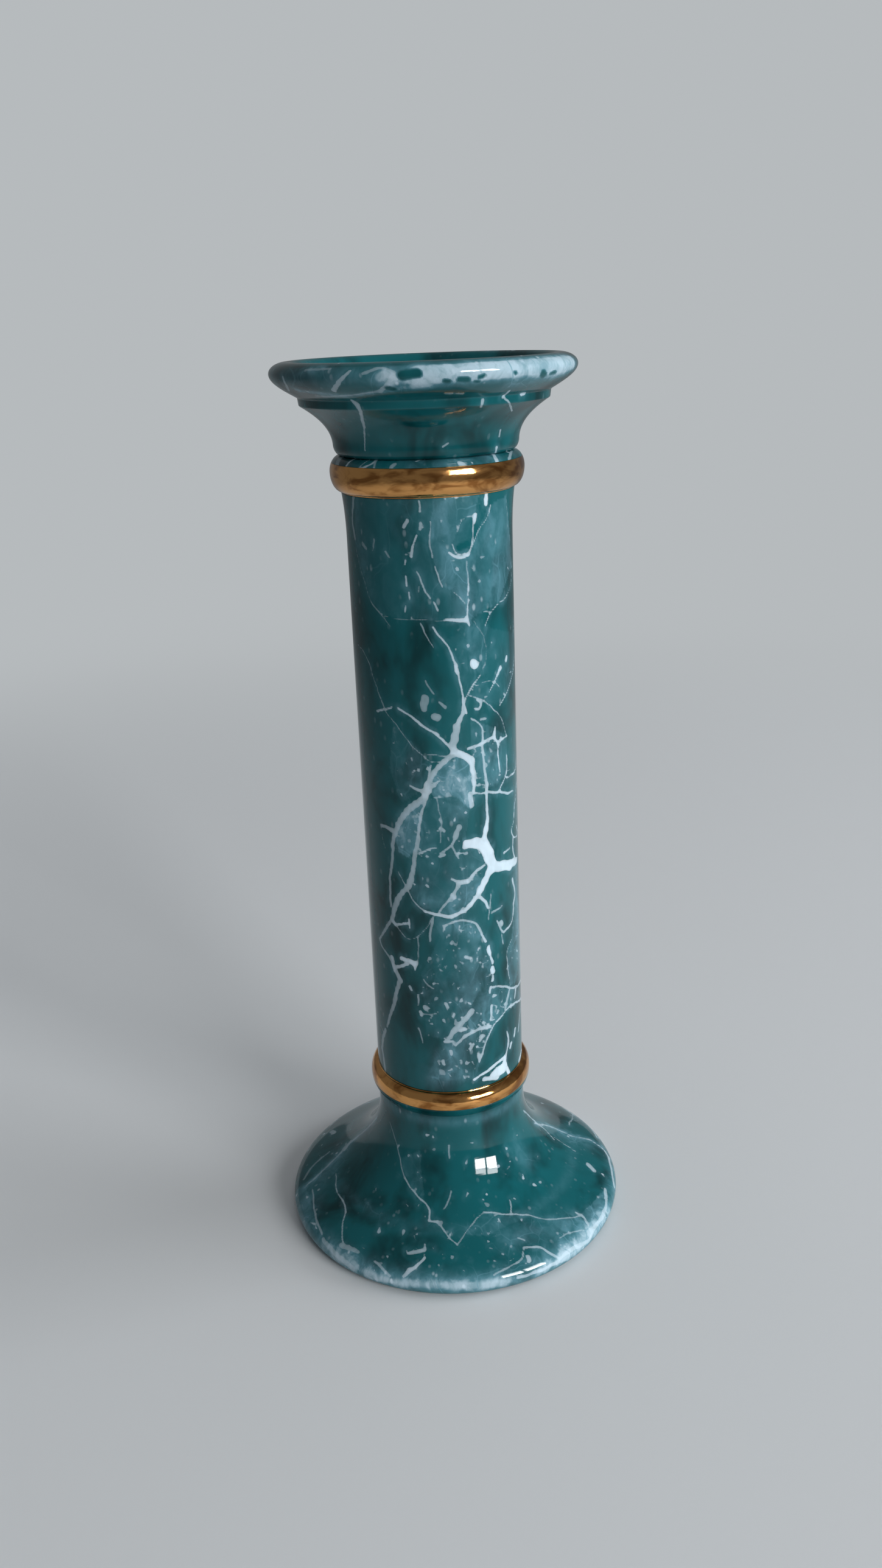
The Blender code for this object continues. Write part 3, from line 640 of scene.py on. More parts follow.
class CandlestickFinish(bpy.types.PropertyGroup):
    """Colours of the glass, the gilding and the stage."""
    deep: tint("Deep glass", "Darkest green", 0.0010, 0.026, 0.0290)
    body: tint("Body glass", "Main teal green", 0.0050, 0.099, 0.1140)
    milk: tint("Milk", "Milky drifts", 0.152, 0.342, 0.425)
    vein: tint("Vein", "White veins", 0.640, 0.765, 0.855)
    gilt: tint("Gilt", "Polished gold", 0.740, 0.370, 0.125)
    # The darker gilt colour is painted dark reflection on the gold, not wear
    gilt_painted_reflection: tint("Gilt shade", "Painted dark reflection", 0.330, 0.135, 0.038)
    floor: tint("Floor", "Pale floor", 0.72, 0.735, 0.75)


def sizes():
    """The lengths that the panel shows."""
    return bpy.context.scene.candlestick_sizes


def colours():
    """The colours that the panel shows."""
    return bpy.context.scene.candlestick_finish


def arc(centre, half, start, end, count=18):
    """Ellipse: centre + half * (cos a, sin a), a running from start to end degrees."""
    a = np.radians(np.linspace(start, end, count))
    return np.stack([centre[0] + half[0] * np.cos(a), centre[1] + half[1] * np.sin(a)], 1)


def bend(*handles, count=26):
    """Cubic Bezier of an end, two handles and an end, at even steps of its parameter."""
    t = np.linspace(0.0, 1.0, count)[:, None]
    a, b, c, d = (np.asarray(h, float) for h in handles)
    return (1 - t) ** 3 * a + 3 * t * (1 - t) ** 2 * b + 3 * t ** 2 * (1 - t) * c + t ** 3 * d


def line(*points):
    """Straight stretches through the points."""
    return np.array(points, float)


def join(*stretches):
    """One section from its stretches, with repeated meeting points dropped."""
    section = np.concatenate(stretches)
    keep = np.ones(len(section), bool)
    keep[1:] = np.linalg.norm(np.diff(section, axis=0), axis=1) > SAME_POINT
    return section[keep]


def inset(section, depth):
    """A stretch that runs outwards and down, moved by depth along its normals to the inside."""
    run = np.gradient(section, axis=0)
    run /= np.linalg.norm(run, axis=1)[:, None]
    return section + depth * np.stack([run[:, 1], -run[:, 0]], 1)


def soften(section, radius, closed):
    """Cuts each sharp corner with a quadratic curve that starts radius before and ends after."""
    before, after = np.roll(section, 1, 0) - section, np.roll(section, -1, 0) - section
    reach_b, reach_a = np.linalg.norm(before, axis=1), np.linalg.norm(after, axis=1)
    turn = (before * after).sum(1) / np.maximum(reach_b * reach_a, GUARD)
    sharp = turn > np.cos(np.radians(180.0 - SHARP_TURN))
    if not closed:
        sharp[[0, -1]] = False
    rows = []
    for i, corner in enumerate(section):
        if not sharp[i]:
            rows.append(corner[None])
            continue
        first = corner + before[i] / reach_b[i] * min(radius, CORNER_SHARE * reach_b[i])
        last = corner + after[i] / reach_a[i] * min(radius, CORNER_SHARE * reach_a[i])
        t = np.linspace(0.0, 1.0, CORNER_STEPS)[:, None]
        rows.append((1 - t) ** 2 * first + 2 * t * (1 - t) * corner + t ** 2 * last)
    return np.concatenate(rows)


def refine(section, spacing, closed):
    """Splits every stretch of the section so that no two rows lie further apart than spacing.

    spacing gives the allowed step for a point (radius, height) and the way on from it, fine where
    the marbling shows.
    """
    ends = np.concatenate([section, section[:1]]) if closed else section
    rows = []
    for start, end in zip(ends[:-1], ends[1:]):
        step = spacing(0.5 * (start + end), end - start)
        parts = max(1, int(np.ceil(np.linalg.norm(end - start) / step)))
        rows.append(start + (end - start) * np.linspace(0.0, 1.0, parts, endpoint=False)[:, None])
    if not closed:
        rows.append(ends[-1:])
    return np.concatenate(rows)


def turned_mesh(name, section, columns, closed):
    """Surface of revolution: point (i, j) is (r_i cos a_j, r_i sin a_j, z_i), a_j round +Z.

    The angles are t - FRONT_CROWDING sin(t + 90 deg), which crowds columns towards the front.
    A closed section gives a ring; an open one starts and ends on the axis, at two pole points.
    """
    rows = section if closed else section[1:-1]
    even = 2 * np.pi * np.arange(columns) / columns
    a = even - FRONT_CROWDING * np.sin(even + 0.5 * np.pi)
    ring = np.stack([np.cos(a), np.sin(a)], 1)
    grid = np.empty((len(rows), columns, 3))
    grid[..., :2] = rows[:, 0, None, None] * ring
    grid[..., 2] = rows[:, 1, None]
    index = np.arange(len(rows) * columns).reshape(len(rows), columns)
    top = index if closed else index[:-1]
    low = np.roll(index, -1, 0) if closed else index[1:]
    quads = np.stack([top, low, np.roll(low, -1, 1), np.roll(top, -1, 1)], -1).reshape(-1, 4)
    points = grid.reshape(-1, 3)
    fans = np.empty((0, 3), int)
    if not closed:
        poles = len(points) + np.array([0, 1])
        points = np.concatenate([points, [[0, 0, section[0, 1]], [0, 0, section[-1, 1]]]])
        first, last = index[0], index[-1]
        fans = np.concatenate([
            np.stack([np.full(columns, poles[0]), first, np.roll(first, -1)], 1),
            np.stack([last, np.full(columns, poles[1]), np.roll(last, -1)], 1)])
    mesh = bpy.data.meshes.new(name)
    mesh.vertices.add(len(points))
    mesh.vertices.foreach_set("co", points.astype(np.float32).ravel())
    mesh.loops.add(4 * len(quads) + 3 * len(fans))
    mesh.loops.foreach_set("vertex_index", np.concatenate([quads.ravel(), fans.ravel()]))
    mesh.polygons.add(len(quads) + len(fans))
    starts = np.concatenate([4 * np.arange(len(quads)), 4 * len(quads) + 3 * np.arange(len(fans))])
    mesh.polygons.foreach_set("loop_start", starts)
    mesh.update(calc_edges=True)
    mesh.polygons.foreach_set("use_smooth", np.ones(len(mesh.polygons), bool))
    return mesh, points


def foot_section():
    """Foot from its spigot's top, down the outside, under the edge and up the hollow."""
    s = sizes()
    radius, spigot_top = FOOT_BOX[1].x, FOOT_BOX[1].z
    spigot = s.shaft_radius - s.shaft_wall - s.joint_gap
    bore = spigot - s.spigot_wall
    crest = LOWER_BOX[1].z - s.lower_rise
    edge = -np.degrees(np.arcsin((crest - s.foot_shoulder) / s.lower_drop))
    fall, width = s.neck_height - s.disc_height, radius - s.disc_radius
    rest = radius - s.foot_edge_inset - s.rest_ring
    flare = bend((s.neck_radius, s.neck_height),
                 (s.neck_radius, s.neck_height - fall * FLARE_START),
                 (s.disc_radius - width * FLARE_END[0], s.disc_height + fall * FLARE_END[1]),
                 (s.disc_radius, s.disc_height))
    disc = bend((s.disc_radius, s.disc_height),
                (s.disc_radius + width * DISC_START[0], s.disc_height - fall * DISC_START[1]),
                (radius, s.foot_edge_rise + (s.disc_height - s.foot_edge_rise) * DISC_END),
                (radius, s.foot_edge_rise))
    hollow = inset(join(flare, disc), s.foot_wall)
    hollow = hollow[(hollow[:, 1] > s.hollow_lip) & (hollow[:, 0] < rest)][::-HOLLOW_THINNING]
    return join(
        line((spigot, spigot_top), (spigot, s.foot_shoulder)),
        arc((s.neck_radius, crest), (LOWER_BOX[1].x - s.neck_radius, s.lower_drop), edge, -90),
        flare, disc,
        arc((radius - s.foot_edge_inset, s.foot_edge_rise),
            (s.foot_edge_inset, s.foot_edge_rise), 0, -90),
        line((rest, 0.0), (rest, s.hollow_lip)), hollow,
        line((bore, s.neck_height + s.foot_wall), (bore, spigot_top)))


def lower_collar_section():
    """Upper part of the lower bead, closed up to the foot and the shaft on either side."""
    s = sizes()
    bead, bottom = LOWER_BOX[1].x, LOWER_BOX[0].z - s.joint_gap
    crest = LOWER_BOX[1].z - s.lower_rise
    bore = s.shaft_radius - s.shaft_wall
    edge = -np.degrees(np.arcsin((crest - bottom) / s.lower_drop))
    return join(
        line((bore, LOWER_BOX[1].z + s.joint_gap), (s.shaft_radius, LOWER_BOX[1].z + s.joint_gap)),
        arc((s.shaft_radius, crest), (bead - s.shaft_radius, s.lower_rise), BEAD_STOP, 0),
        arc((s.neck_radius, crest), (bead - s.neck_radius, s.lower_drop), 0, edge),
        line((bore, bottom)))


def shaft_section():
    """Tube, flared a little at its top."""
    s = sizes()
    top, low, wide = SHAFT_BOX[1].z, SHAFT_BOX[0].z, SHAFT_BOX[1].x
    bore = s.shaft_radius - s.shaft_wall
    return join(
        bend((wide, top),
             (s.shaft_radius + (wide - s.shaft_radius) * SHAFT_START[0],
              top - s.shaft_flare * SHAFT_START[1]),
             (s.shaft_radius, top - s.shaft_flare * SHAFT_END),
             (s.shaft_radius, top - s.shaft_flare)),
        line((s.shaft_radius, low), (bore, low), (bore, top)))


def upper_collar_section():
    """Crest and lower part of the upper bead, closed up to the cup and the shaft."""
    s = sizes()
    bead, top, flare = UPPER_BOX[1].x, UPPER_BOX[1].z + s.joint_gap, SHAFT_BOX[1].x
    crest = UPPER_BOX[0].z + s.upper_drop
    bore = s.shaft_radius - s.shaft_wall
    edge = np.degrees(np.arcsin((top - crest) / s.upper_rise))
    low = UPPER_BOX[0].z - s.joint_gap
    return join(
        line((bore, top)),
        arc((s.groove_radius, crest), (bead - s.groove_radius, s.upper_rise), edge, 0),
        arc((flare, crest), (bead - flare, s.upper_drop), 0, -BEAD_STOP),
        line((flare, low), (bore, low)))


def cup_section():
    """Cup from the axis on the socket's floor, over the lip, back to the axis under the spigot."""
    s = sizes()
    shoulder = UPPER_BOX[1].z + s.joint_gap
    crest = UPPER_BOX[0].z + s.upper_drop
    bead, lip, top = UPPER_BOX[1].x, CUP_BOX[1].x, CUP_BOX[1].z
    spigot = s.shaft_radius - s.shaft_wall - s.joint_gap
    edge = np.degrees(np.arcsin((shoulder - crest) / s.upper_rise))
    cove = crest + s.upper_rise + s.groove_round
    step = cove + s.cove_rise
    under = step + s.step_rise
    wide = under + s.lip_underside
    crest_r = lip - s.lip_crest_inset
    mouth_r, mouth = crest_r - s.lip_inner_inset, top - s.lip_inner_drop
    seat = top - s.dish_depth
    dish, depth = mouth_r - s.seat_radius, s.cove_top - s.cove_foot
    return join(
        line((0.0, seat - s.socket_depth), (s.socket_radius, seat - s.socket_depth),
             (s.socket_radius, seat)),
        bend((s.seat_radius, seat), (s.seat_radius + dish * DISH_START, seat),
             (mouth_r - dish * DISH_END[0], mouth - (mouth - seat) * DISH_END[1]),
             (mouth_r, mouth)),
        arc((crest_r, mouth), (s.lip_inner_inset, s.lip_inner_drop), 180, 90),
        arc((crest_r, wide), (s.lip_crest_inset, s.lip_crest_rise), 90, 0),
        bend((lip, wide), (lip, wide - s.lip_underside * LIP_START),
             (s.step_radius + (lip - s.step_radius) * LIP_END[0],
              under + s.lip_underside * LIP_END[1]),
             (s.step_radius, under)),
        bend((s.cove_top, step),
             (s.cove_top - depth * COVE_START[0], step - s.cove_rise * COVE_START[1]),
             (s.cove_foot + depth * COVE_END[0], cove + s.cove_rise * COVE_END[1]),
             (s.cove_foot, cove)),
        arc((s.groove_radius, cove), (s.cove_foot - s.groove_radius, s.groove_round),
            0, -GROOVE_STOP),
        arc((s.groove_radius, crest), (bead - s.groove_radius, s.upper_rise), 90, edge),
        line((spigot, shoulder), (spigot, CUP_BOX[0].z), (0.0, CUP_BOX[0].z)))


def camera_axes():
    """Right, up and forward of the photograph's camera, turned by yaw, pitch and roll."""
    yaw, pitch, roll = np.radians([CAMERA_YAW, CAMERA_PITCH, CAMERA_ROLL])
    level = np.array([np.sin(yaw), np.cos(yaw), 0.0])
    side = np.array([np.cos(yaw), -np.sin(yaw), 0.0])
    rise = np.array([0.0, 0.0, 1.0])
    forward = level * np.cos(pitch) - rise * np.sin(pitch)
    up = level * np.sin(pitch) + rise * np.cos(pitch)
    return side * np.cos(roll) + up * np.sin(roll), up * np.cos(roll) - side * np.sin(roll), forward


def outline():
    """Outer radius of the whole object at a fine ladder of heights, from its five sections."""
    ladder = np.linspace(0.0, CUP_BOX[1].z, LADDER_STEPS)
    widest = np.zeros_like(ladder)
    for section in (foot_section(), lower_collar_section(), shaft_section(),
                    upper_collar_section(), cup_section()):
        low, high = section[:-1], section[1:]
        rise = high[:, 1] - low[:, 1]
        t = (ladder[:, None] - low[:, 1]) / np.where(np.abs(rise) < LEVEL_RISE, LEVEL_RISE, rise)
        radius = np.where((t >= 0) & (t <= 1), low[:, 0] + t * (high[:, 0] - low[:, 0]), 0.0)
        widest = np.maximum(widest, radius.max(1))
    return ladder, widest


def on_surface(pixels, shape):
    """Where the photograph's rays meet the turned shape, an outline of heights and radii.

    A ray that meets it ends at its first step inside, and any other one where it comes closest.
    """
    right, up, forward = camera_axes()
    offset = np.asarray(pixels, float) - 0.5 * np.array(PHOTO_SIZE)
    rays = forward + (offset[:, :1] * right - offset[:, 1:] * up) / FOCAL_PIXELS
    t = np.linspace(RAY_NEAR, RAY_FAR, RAY_STEPS)
    points = CAMERA_PLACE + t[None, :, None] * rays[:, None]
    gap = np.hypot(points[..., 0], points[..., 1]) - np.interp(points[..., 2], *shape)
    inside = (gap <= 0.0) & (points[..., 2] >= 0.0)
    first = np.where(inside.any(1), inside.argmax(1), gap.argmin(1))
    return points[np.arange(len(points)), first]


def smooth_route(points):
    """Corner-cutting subdivision: each round keeps the ends and cuts every corner at a quarter."""
    for _ in range(CORNER_CUTS):
        cut = np.stack([0.75 * points[:-1] + 0.25 * points[1:],
                        0.25 * points[:-1] + 0.75 * points[1:]], 1).reshape(-1, points.shape[1])
        points = np.concatenate([points[:1], cut, points[-1:]])
    return points


def wander(points, size, amount):
    """A soft shake of points by about amount: two sine waves of unlike length along each axis."""
    places = points / size

    def wave(numbers, phase):
        return np.sin(places @ np.array(numbers) + phase)

    return amount * np.stack([wave(*first) + SECOND_WAVE * wave(*second)
                              for first, second in SHAKE_WAVES], 1)


def route_distance(points, route):
    """Distance from each point to a polyline, and how far along it the nearest place lies."""
    start, run = route[:-1], np.diff(route, axis=0)
    reach = np.maximum((run ** 2).sum(1), GUARD)
    t = np.clip(((points[:, None] - start) * run).sum(2) / reach, 0.0, 1.0)
    gap = np.linalg.norm(points[:, None] - start - t[..., None] * run, axis=2)
    best = gap.argmin(1)
    pick = np.arange(len(points))
    along = (best + t[pick, best]) / len(run)
    return gap[pick, best], along


def near_route(points, route, margin, part):
    """Indices of the points within margin of the route's box, where they take part at all."""
    low, high = route.min(0) - margin, route.max(0) + margin
    level = np.flatnonzero((points[:, 2] > low[2]) & (points[:, 2] < high[2]) & (part > 0))
    flat = points[level, :2]
    return level[((flat > low[:2]) & (flat < high[:2])).all(1)]


def far_side(kind, points):
    """Brings the unseen side to the front: the shaft half a turn about x, the others about z."""
    if kind == "shaft":
        return points * (1, -1, -1) + (0, 0, SHAFT_BOX[0].z + SHAFT_BOX[1].z)
    c, s = np.cos(np.radians(FAR_TURN)), np.sin(np.radians(FAR_TURN))
    return points @ np.array([[c, -s, 0], [s, c, 0], [0, 0, 1]])


def dish_sheet(points):
    """Lays the plan of the dish on the shaft's front, its width and its depth scaled."""
    across, radius = DISH_SCALES[0] * points[:, 0], sizes().shaft_radius
    return np.stack([across, -np.sqrt(np.maximum(radius ** 2 - across ** 2, 0.0)),
                     DISH_HEIGHT + DISH_SCALES[1] * points[:, 1]], 1)


def pixel_of(points):
    """Where points land on the photograph: focal length times sideways and up over forward."""
    right, up, forward = camera_axes()
    offset = points - CAMERA_PLACE
    depth = offset @ forward
    flat = np.stack([offset @ right, -(offset @ up)], 1) * FOCAL_PIXELS / depth[:, None]
    return flat + 0.5 * np.array(PHOTO_SIZE)


def pixel_size(points):
    """Length in mm on the object that one pixel covers: mean depth over focal length."""
    depth = (points - CAMERA_PLACE) @ camera_axes()[2]
    return depth.mean() / FOCAL_PIXELS / MM


def inside_pane(pixels, corners):
    """Even-odd rule: a point is inside where a level ray crosses an odd number of sides."""
    odd = np.zeros(len(pixels), bool)
    x, y = pixels.T
    for (x0, y0), (x1, y1) in zip(corners, corners[1:] + corners[:1]):
        if y0 == y1:
            continue
        crosses = (y0 > y) != (y1 > y)
        odd ^= crosses & (x < x0 + (y - y0) * (x1 - x0) / (y1 - y0))
    return odd


def specks():
    """Short pale specks scattered by seed over the panes: width, whiteness and two pixels each."""
    rng = np.random.default_rng(SPECK_SEED)
    found = []
    for _, count, *corners in PALE_PANES.values():
        low, high = np.min(corners, 0), np.max(corners, 0)
        spots = rng.uniform(low, high, (SPECK_TRIES * (count + 1), 2))
        spots = spots[inside_pane(spots, corners)][:count]
        lengths = rng.normal(0.0, SPECK_LENGTH, spots.shape)
        widths = rng.gamma(*SPECK_WIDTH, len(spots))
        tones = rng.uniform(*SPECK_TONES, len(spots))
        found += zip(widths, tones, np.stack([spots, spots + lengths], 1))
    return found


def shaken_along(points, normals):
    """Points shaken along the surface: all shakes, less the part of them along the normals."""
    shake = sum(wander(points, size, amount) for size, amount in SHAKES)
    return points + shake - (shake * normals).sum(1)[:, None] * normals


def vein_routes(veins, shape):
    """All veins and specks: half widths in mm at both ends, whiteness, and route in space."""
    routes = []
    for first, last, strength, *pixels in veins.values():
        route = on_surface(smooth_route(np.array(pixels, float)), shape)
        half = 0.5 * pixel_size(route)
        routes.append((first * half, last * half, strength, route))
    widths, tones, ends = zip(*specks())
    ends = on_surface(np.reshape(ends, (-1, 2)), shape).reshape(-1, 2, 3)
    for width, tone, route in zip(widths, tones, ends):
        routes.append((0.5 * width * pixel_size(route), SPECK_END, tone, route))
    return routes


def drift_routes(shape):
    """All drifts, milky ones and painted reflections: radius in metres, strength, and route in
    space.
    """
    return [(radius * MM, strength, on_surface(smooth_route(np.array(pixels, float)), shape))
            for radius, strength, *pixels in MILK_AND_REFLECTION_DRIFTS.values()]


def spot_routes(shape):
    """All dark spots: half width in mm, and route in space."""
    routes = [(width, on_surface(pixels, shape)) for width, *pixels in DARK_SPOTS.values()]
    return [(0.5 * width * pixel_size(route), route) for width, route in routes]


def readings(kind, points, normals):
    """Where each point reads the marbling, with the share that the reading has there.

    Every point reads its own place.  The unseen side reads the front as well, and the dish of
    the cup reads the shaft.
    """
    shaken = shaken_along(points, normals)
    beyond = np.clip((points[:, 1] - FAR_EDGE[kind]) / FAR_FADE, 0.0, 1.0)
    found = [(shaken, np.ones(len(points))), (far_side(kind, shaken), beyond)]
    if kind == "cup":
        in_dish = np.clip((DISH_RADIUS - np.hypot(*points[:, :2].T)) / DISH_FADE, 0.0, 1.0)
        found.append((dish_sheet(shaken), in_dish * (normals[:, 2] > DISH_UPWARD)))
    return found


def marbling(kind, points, normals, veins):
    """At each point the vein field in mm, its whiteness, the milk and the share left by spots.

    The vein field is k log sum exp((half width - distance) / k) over all routes, so branches
    melt together where they meet, and the whiteness is the mean of the routes under the same
    weights.  Milk joins bell-shaped drifts about their routes and panes with sharp sides.  The
    dark spots then take a share of white and milk away.
    """
    shape = outline()
    routes, drifts, spots = vein_routes(veins, shape), drift_routes(shape), spot_routes(shape)
    swell = np.full(len(points), SWELL_MEAN)
    for amount, numbers in SWELLS:
        swell += amount * np.sin(points @ np.array(numbers))
    total = np.full(len(points), np.exp(VEIN_LIMITS[0]))
    white, clear, share = 0.5 * total, np.ones(len(points)), np.ones(len(points))
    for place, part in readings(kind, points, normals):
        for first, last, strength, route in routes:
            near = near_route(place, route, VEIN_REACH, part)
            if len(near):
                gap, along = route_distance(place[near], route)
                half = (first + (last - first) * along) * swell[near]
                power = np.clip((half - gap / MM) / VEIN_BLEND, *VEIN_LIMITS)
                weight = part[near] * np.exp(power)
                total[near] += weight
                white[near] += strength * weight
        for radius, strength, route in drifts:
            near = near_route(place, route, DRIFT_REACH * radius, part)
            if len(near):
                gap, _ = route_distance(place[near], route)
                clear[near] *= 1.0 - part[near] * strength * np.exp(-(gap / radius) ** 2)
        towards = ((CAMERA_PLACE - place)[:, :2] * place[:, :2]).sum(1) > 0.0
        seen = pixel_of(place)
        for strength, _, *corners in PALE_PANES.values():
            clear *= 1.0 - part * strength * (inside_pane(seen, corners) & towards)
        for half, route in spots:
            near = near_route(place, route, VEIN_REACH, part)
            if len(near):
                gap, _ = route_distance(place[near], route)
                share[near] *= np.clip((gap / MM - half) / SPOT_RIM + 0.5, 0.0, 1.0)
    return VEIN_BLEND * np.log(total), white / total * share, (1.0 - clear) * share, share


def rim_milk_and_light(points, outer, inner, lowest, highest, strength):
    """Milk along a round edge, rising with the radius, plus painted light strongest at the front
    right.
    """
    r = np.hypot(points[:, 0], points[:, 1])
    rise = np.clip((r - inner) / (outer - inner), 0.0, 1.0)
    band = (points[:, 2] > lowest) & (points[:, 2] < highest)
    turn = np.arctan2(points[:, 1], points[:, 0]) - np.radians(RIM_LIGHT_BEARING)
    # The share that comes and goes is painted light, strongest on the side towards the window lamps
    return strength * rise ** 2 * band * (RIM_EVEN + RIM_LIGHT_SHARE * np.cos(turn))


def ring_milk(values, strength, middle, half_width):
    """A bell of milk about a middle radius or height."""
    return strength * np.exp(-((values - middle) / half_width) ** 2)


class Value:
    """A shader value: an operator on it adds a Math node."""

    def __init__(self, tree, socket):
        self.tree, self.socket = tree, socket

    def math(self, operation, *others, clamp=False):
        node = self.tree.nodes.new("ShaderNodeMath")
        node.operation, node.use_clamp = operation, clamp
        for socket, value in zip(node.inputs, others):
            if isinstance(value, Value):
                self.tree.links.new(value.socket, socket)
            else:
                socket.default_value = value
        return Value(self.tree, node.outputs[0])

    def __add__(self, other):
        return self.math("ADD", self, other)

    def __radd__(self, other):
        return self.math("ADD", other, self)

    def __sub__(self, other):
        return self.math("SUBTRACT", self, other)

    def __rsub__(self, other):
        return self.math("SUBTRACT", other, self)

    def __mul__(self, other):
        return self.math("MULTIPLY", self, other)

    def __rmul__(self, other):
        return self.math("MULTIPLY", other, self)

    def clamp(self):
        return self.math("ADD", self, 0.0, clamp=True)


class Finish:
    """One material, its node tree and its Principled shader."""

    def __init__(self, name):
        self.material = bpy.data.materials.new(name)
        self.material.use_nodes = True
        self.tree = self.material.node_tree
        self.shader = self.tree.nodes["Principled BSDF"]

    def node(self, kind, settings, inputs, output=0):
        """A node of any type: its settings first, then the values or links of its sockets."""
        node = self.tree.nodes.new(kind)
        for key, value in settings.items():
            setattr(node, key, value)
        for key, value in inputs.items():
            if isinstance(value, Value):
                self.tree.links.new(value.socket, node.inputs[key])
            else:
                node.inputs[key].default_value = value
        return Value(self.tree, node.outputs[output])

    def place(self, stretch=(1.0, 1.0, 1.0)):
        """Object coordinates, scaled along each axis."""
        coords = self.node("ShaderNodeTexCoord", {}, {}, "Object")
        return self.node("ShaderNodeMapping", {}, {"Vector": coords, "Scale": stretch})

    def noise(self, place, scale, detail=3.0, rough=0.55, twist=0.0):
        """Fractal noise from 0 to 1 about 0.5."""
        return self.node("ShaderNodeTexNoise", {}, {
            "Vector": place, "Scale": scale, "Detail": detail, "Roughness": rough,
            "Distortion": twist})

    def cells(self, place, scale, feature="F1"):
        """Voronoi cells: distance to the nearest point or edge."""
        return self.node("ShaderNodeTexVoronoi", {"feature": feature},
                         {"Vector": place, "Scale": scale}, "Distance")

    def field(self, name):
        """A number stored on the piece's vertices."""
        return self.node("ShaderNodeAttribute", {"attribute_name": name}, {}, "Fac")

    def step(self, value, low, high):
        """Smooth rise from 0 at low to 1 at high."""
        return self.node("ShaderNodeMapRange", {"interpolation_type": "SMOOTHSTEP"},
                         {"Value": value, "From Min": low, "From Max": high})

    def mix(self, factor, first, second):
        """Blend of two colours."""
        return self.node("ShaderNodeMix", {"data_type": "RGBA"},
                         {0: factor, 6: first, 7: second}, 2)

    def bump(self, height, strength, distance):
        """Normal of a height pattern."""
        return self.node("ShaderNodeBump", {},
                         {"Height": height, "Strength": strength, "Distance": distance})

    def feed(self, socket, value):
        """Links a value that changes over the surface to the shader."""
        self.tree.links.new(value.socket, self.shader.inputs[socket])


def marbled_glass():
    """Dark teal glass with white veins, milky drifts, flecks and hairlines under a hard gloss."""
    c, k = colours(), GLASS_SHARE
    glass = Finish("veined_glass")
    place, tall = glass.place(), glass.place(GLASS_TALL)
    vein, white, milk = glass.field("vein"), glass.field("white"), glass.field("milk")

    def noise(name, where=place):
        return glass.noise(where, *GLASS_NOISE[name])

    def rise(name, value):
        return glass.step(value, *GLASS_RISE[name])

    ragged = noise("ragged") - 0.5
    clouds, wisps, curds = noise("clouds", tall), noise("wisps", tall), noise("curds")
    colour = glass.mix(rise("depth", clouds), tuple(c.deep), tuple(c.body))
    torn = (k["torn"] + k["torn_wisps"] * rise("wisps", wisps)
            + k["torn_curds"] * rise("curds", curds))
    drift = milk * (torn + (k["dense"] - torn) * rise("dense", milk) * k["dense_milk"])
    haze = rise("haze", vein) * white * rise("haze_wisps", wisps) * k["haze"]
    colour = glass.mix((drift + haze).clamp(), colour, tuple(c.milk))
    colour = glass.mix(rise("bright", drift) * k["bright"], colour, tuple(c.vein))
    crack_place = glass.node("ShaderNodeVectorMath", {"operation": "MULTIPLY_ADD"}, {
        0: glass.node("ShaderNodeTexNoise", {}, {"Vector": place, "Scale": CRACK_TWIST}, "Color"),
        1: CRACK_SHIFT, 2: tall})
    cracks = 1.0 - rise("cracks", glass.cells(crack_place, CRACK_CELLS, "DISTANCE_TO_EDGE"))
    crack_fade = rise("crack_fade", noise("crack_fade")) * milk
    colour = glass.mix((cracks * crack_fade * k["cracks"]).clamp(), colour, tuple(c.milk))
    flecks = 1.0 - rise("flecks", glass.cells(tall, FLECK_CELLS))
    fleck_fade = rise("fleck_fade", noise("fleck_fade"))
    fleck_share = (k["flecks"] + k["fleck_milk"] * milk).clamp()
    colour = glass.mix(flecks * fleck_fade * fleck_share, colour, tuple(c.vein))
    line_mask = rise("line", vein + ragged * k["line_ragged"])
    core = rise("core", vein + ragged * k["core_ragged"])
    veil = (white * line_mask * (k["veil"] + k["veil_core"] * core)
            * (k["veil_thin"] + k["veil_wisps"] * wisps))
    colour = glass.mix(veil.clamp(), colour, tuple(c.vein))
    pits = 1.0 - rise("pits", glass.cells(place, PIT_CELLS))
    pit_fade = rise("pit_fade", noise("pit_fade")) * line_mask
    colour = glass.mix(pits * pit_fade * k["pits"], colour, tuple(c.deep))
    glass.feed("Base Color", colour)
    glass.feed("Roughness", GLASS_ROUGHNESS[0] + GLASS_ROUGHNESS[1] * noise("gloss"))
    glass.feed("Normal", glass.bump(noise("ripple", tall), *GLASS_BUMP))
    glass.shader.inputs["IOR"].default_value = GLASS_IOR
    return glass.material


def polished_gilt():
    """Bright gold with faint waves and patches of painted dark reflection."""
    c = colours()
    gilt = Finish("polished_gilt")
    place = gilt.place(GILT_STRETCH)
    patches, gloss, waves = (gilt.noise(place, *GILT_NOISE[name])
                             for name in ("reflection_patches", "gloss", "waves"))
    # Patches of painted dark reflection: the gold turns to its darker colour there
    reflection_patches = gilt.step(patches, *GILT_REFLECTION_RISE)
    gilt.feed("Base Color", gilt.mix(reflection_patches, tuple(c.gilt), tuple(c.gilt_painted_reflection)))
    gilt.feed("Roughness", GILT_ROUGHNESS[0] + GILT_ROUGHNESS[1] * gloss)
    gilt.feed("Normal", gilt.bump(waves, *GILT_BUMP))
    gilt.shader.inputs["Metallic"].default_value = 1.0
    return gilt.material


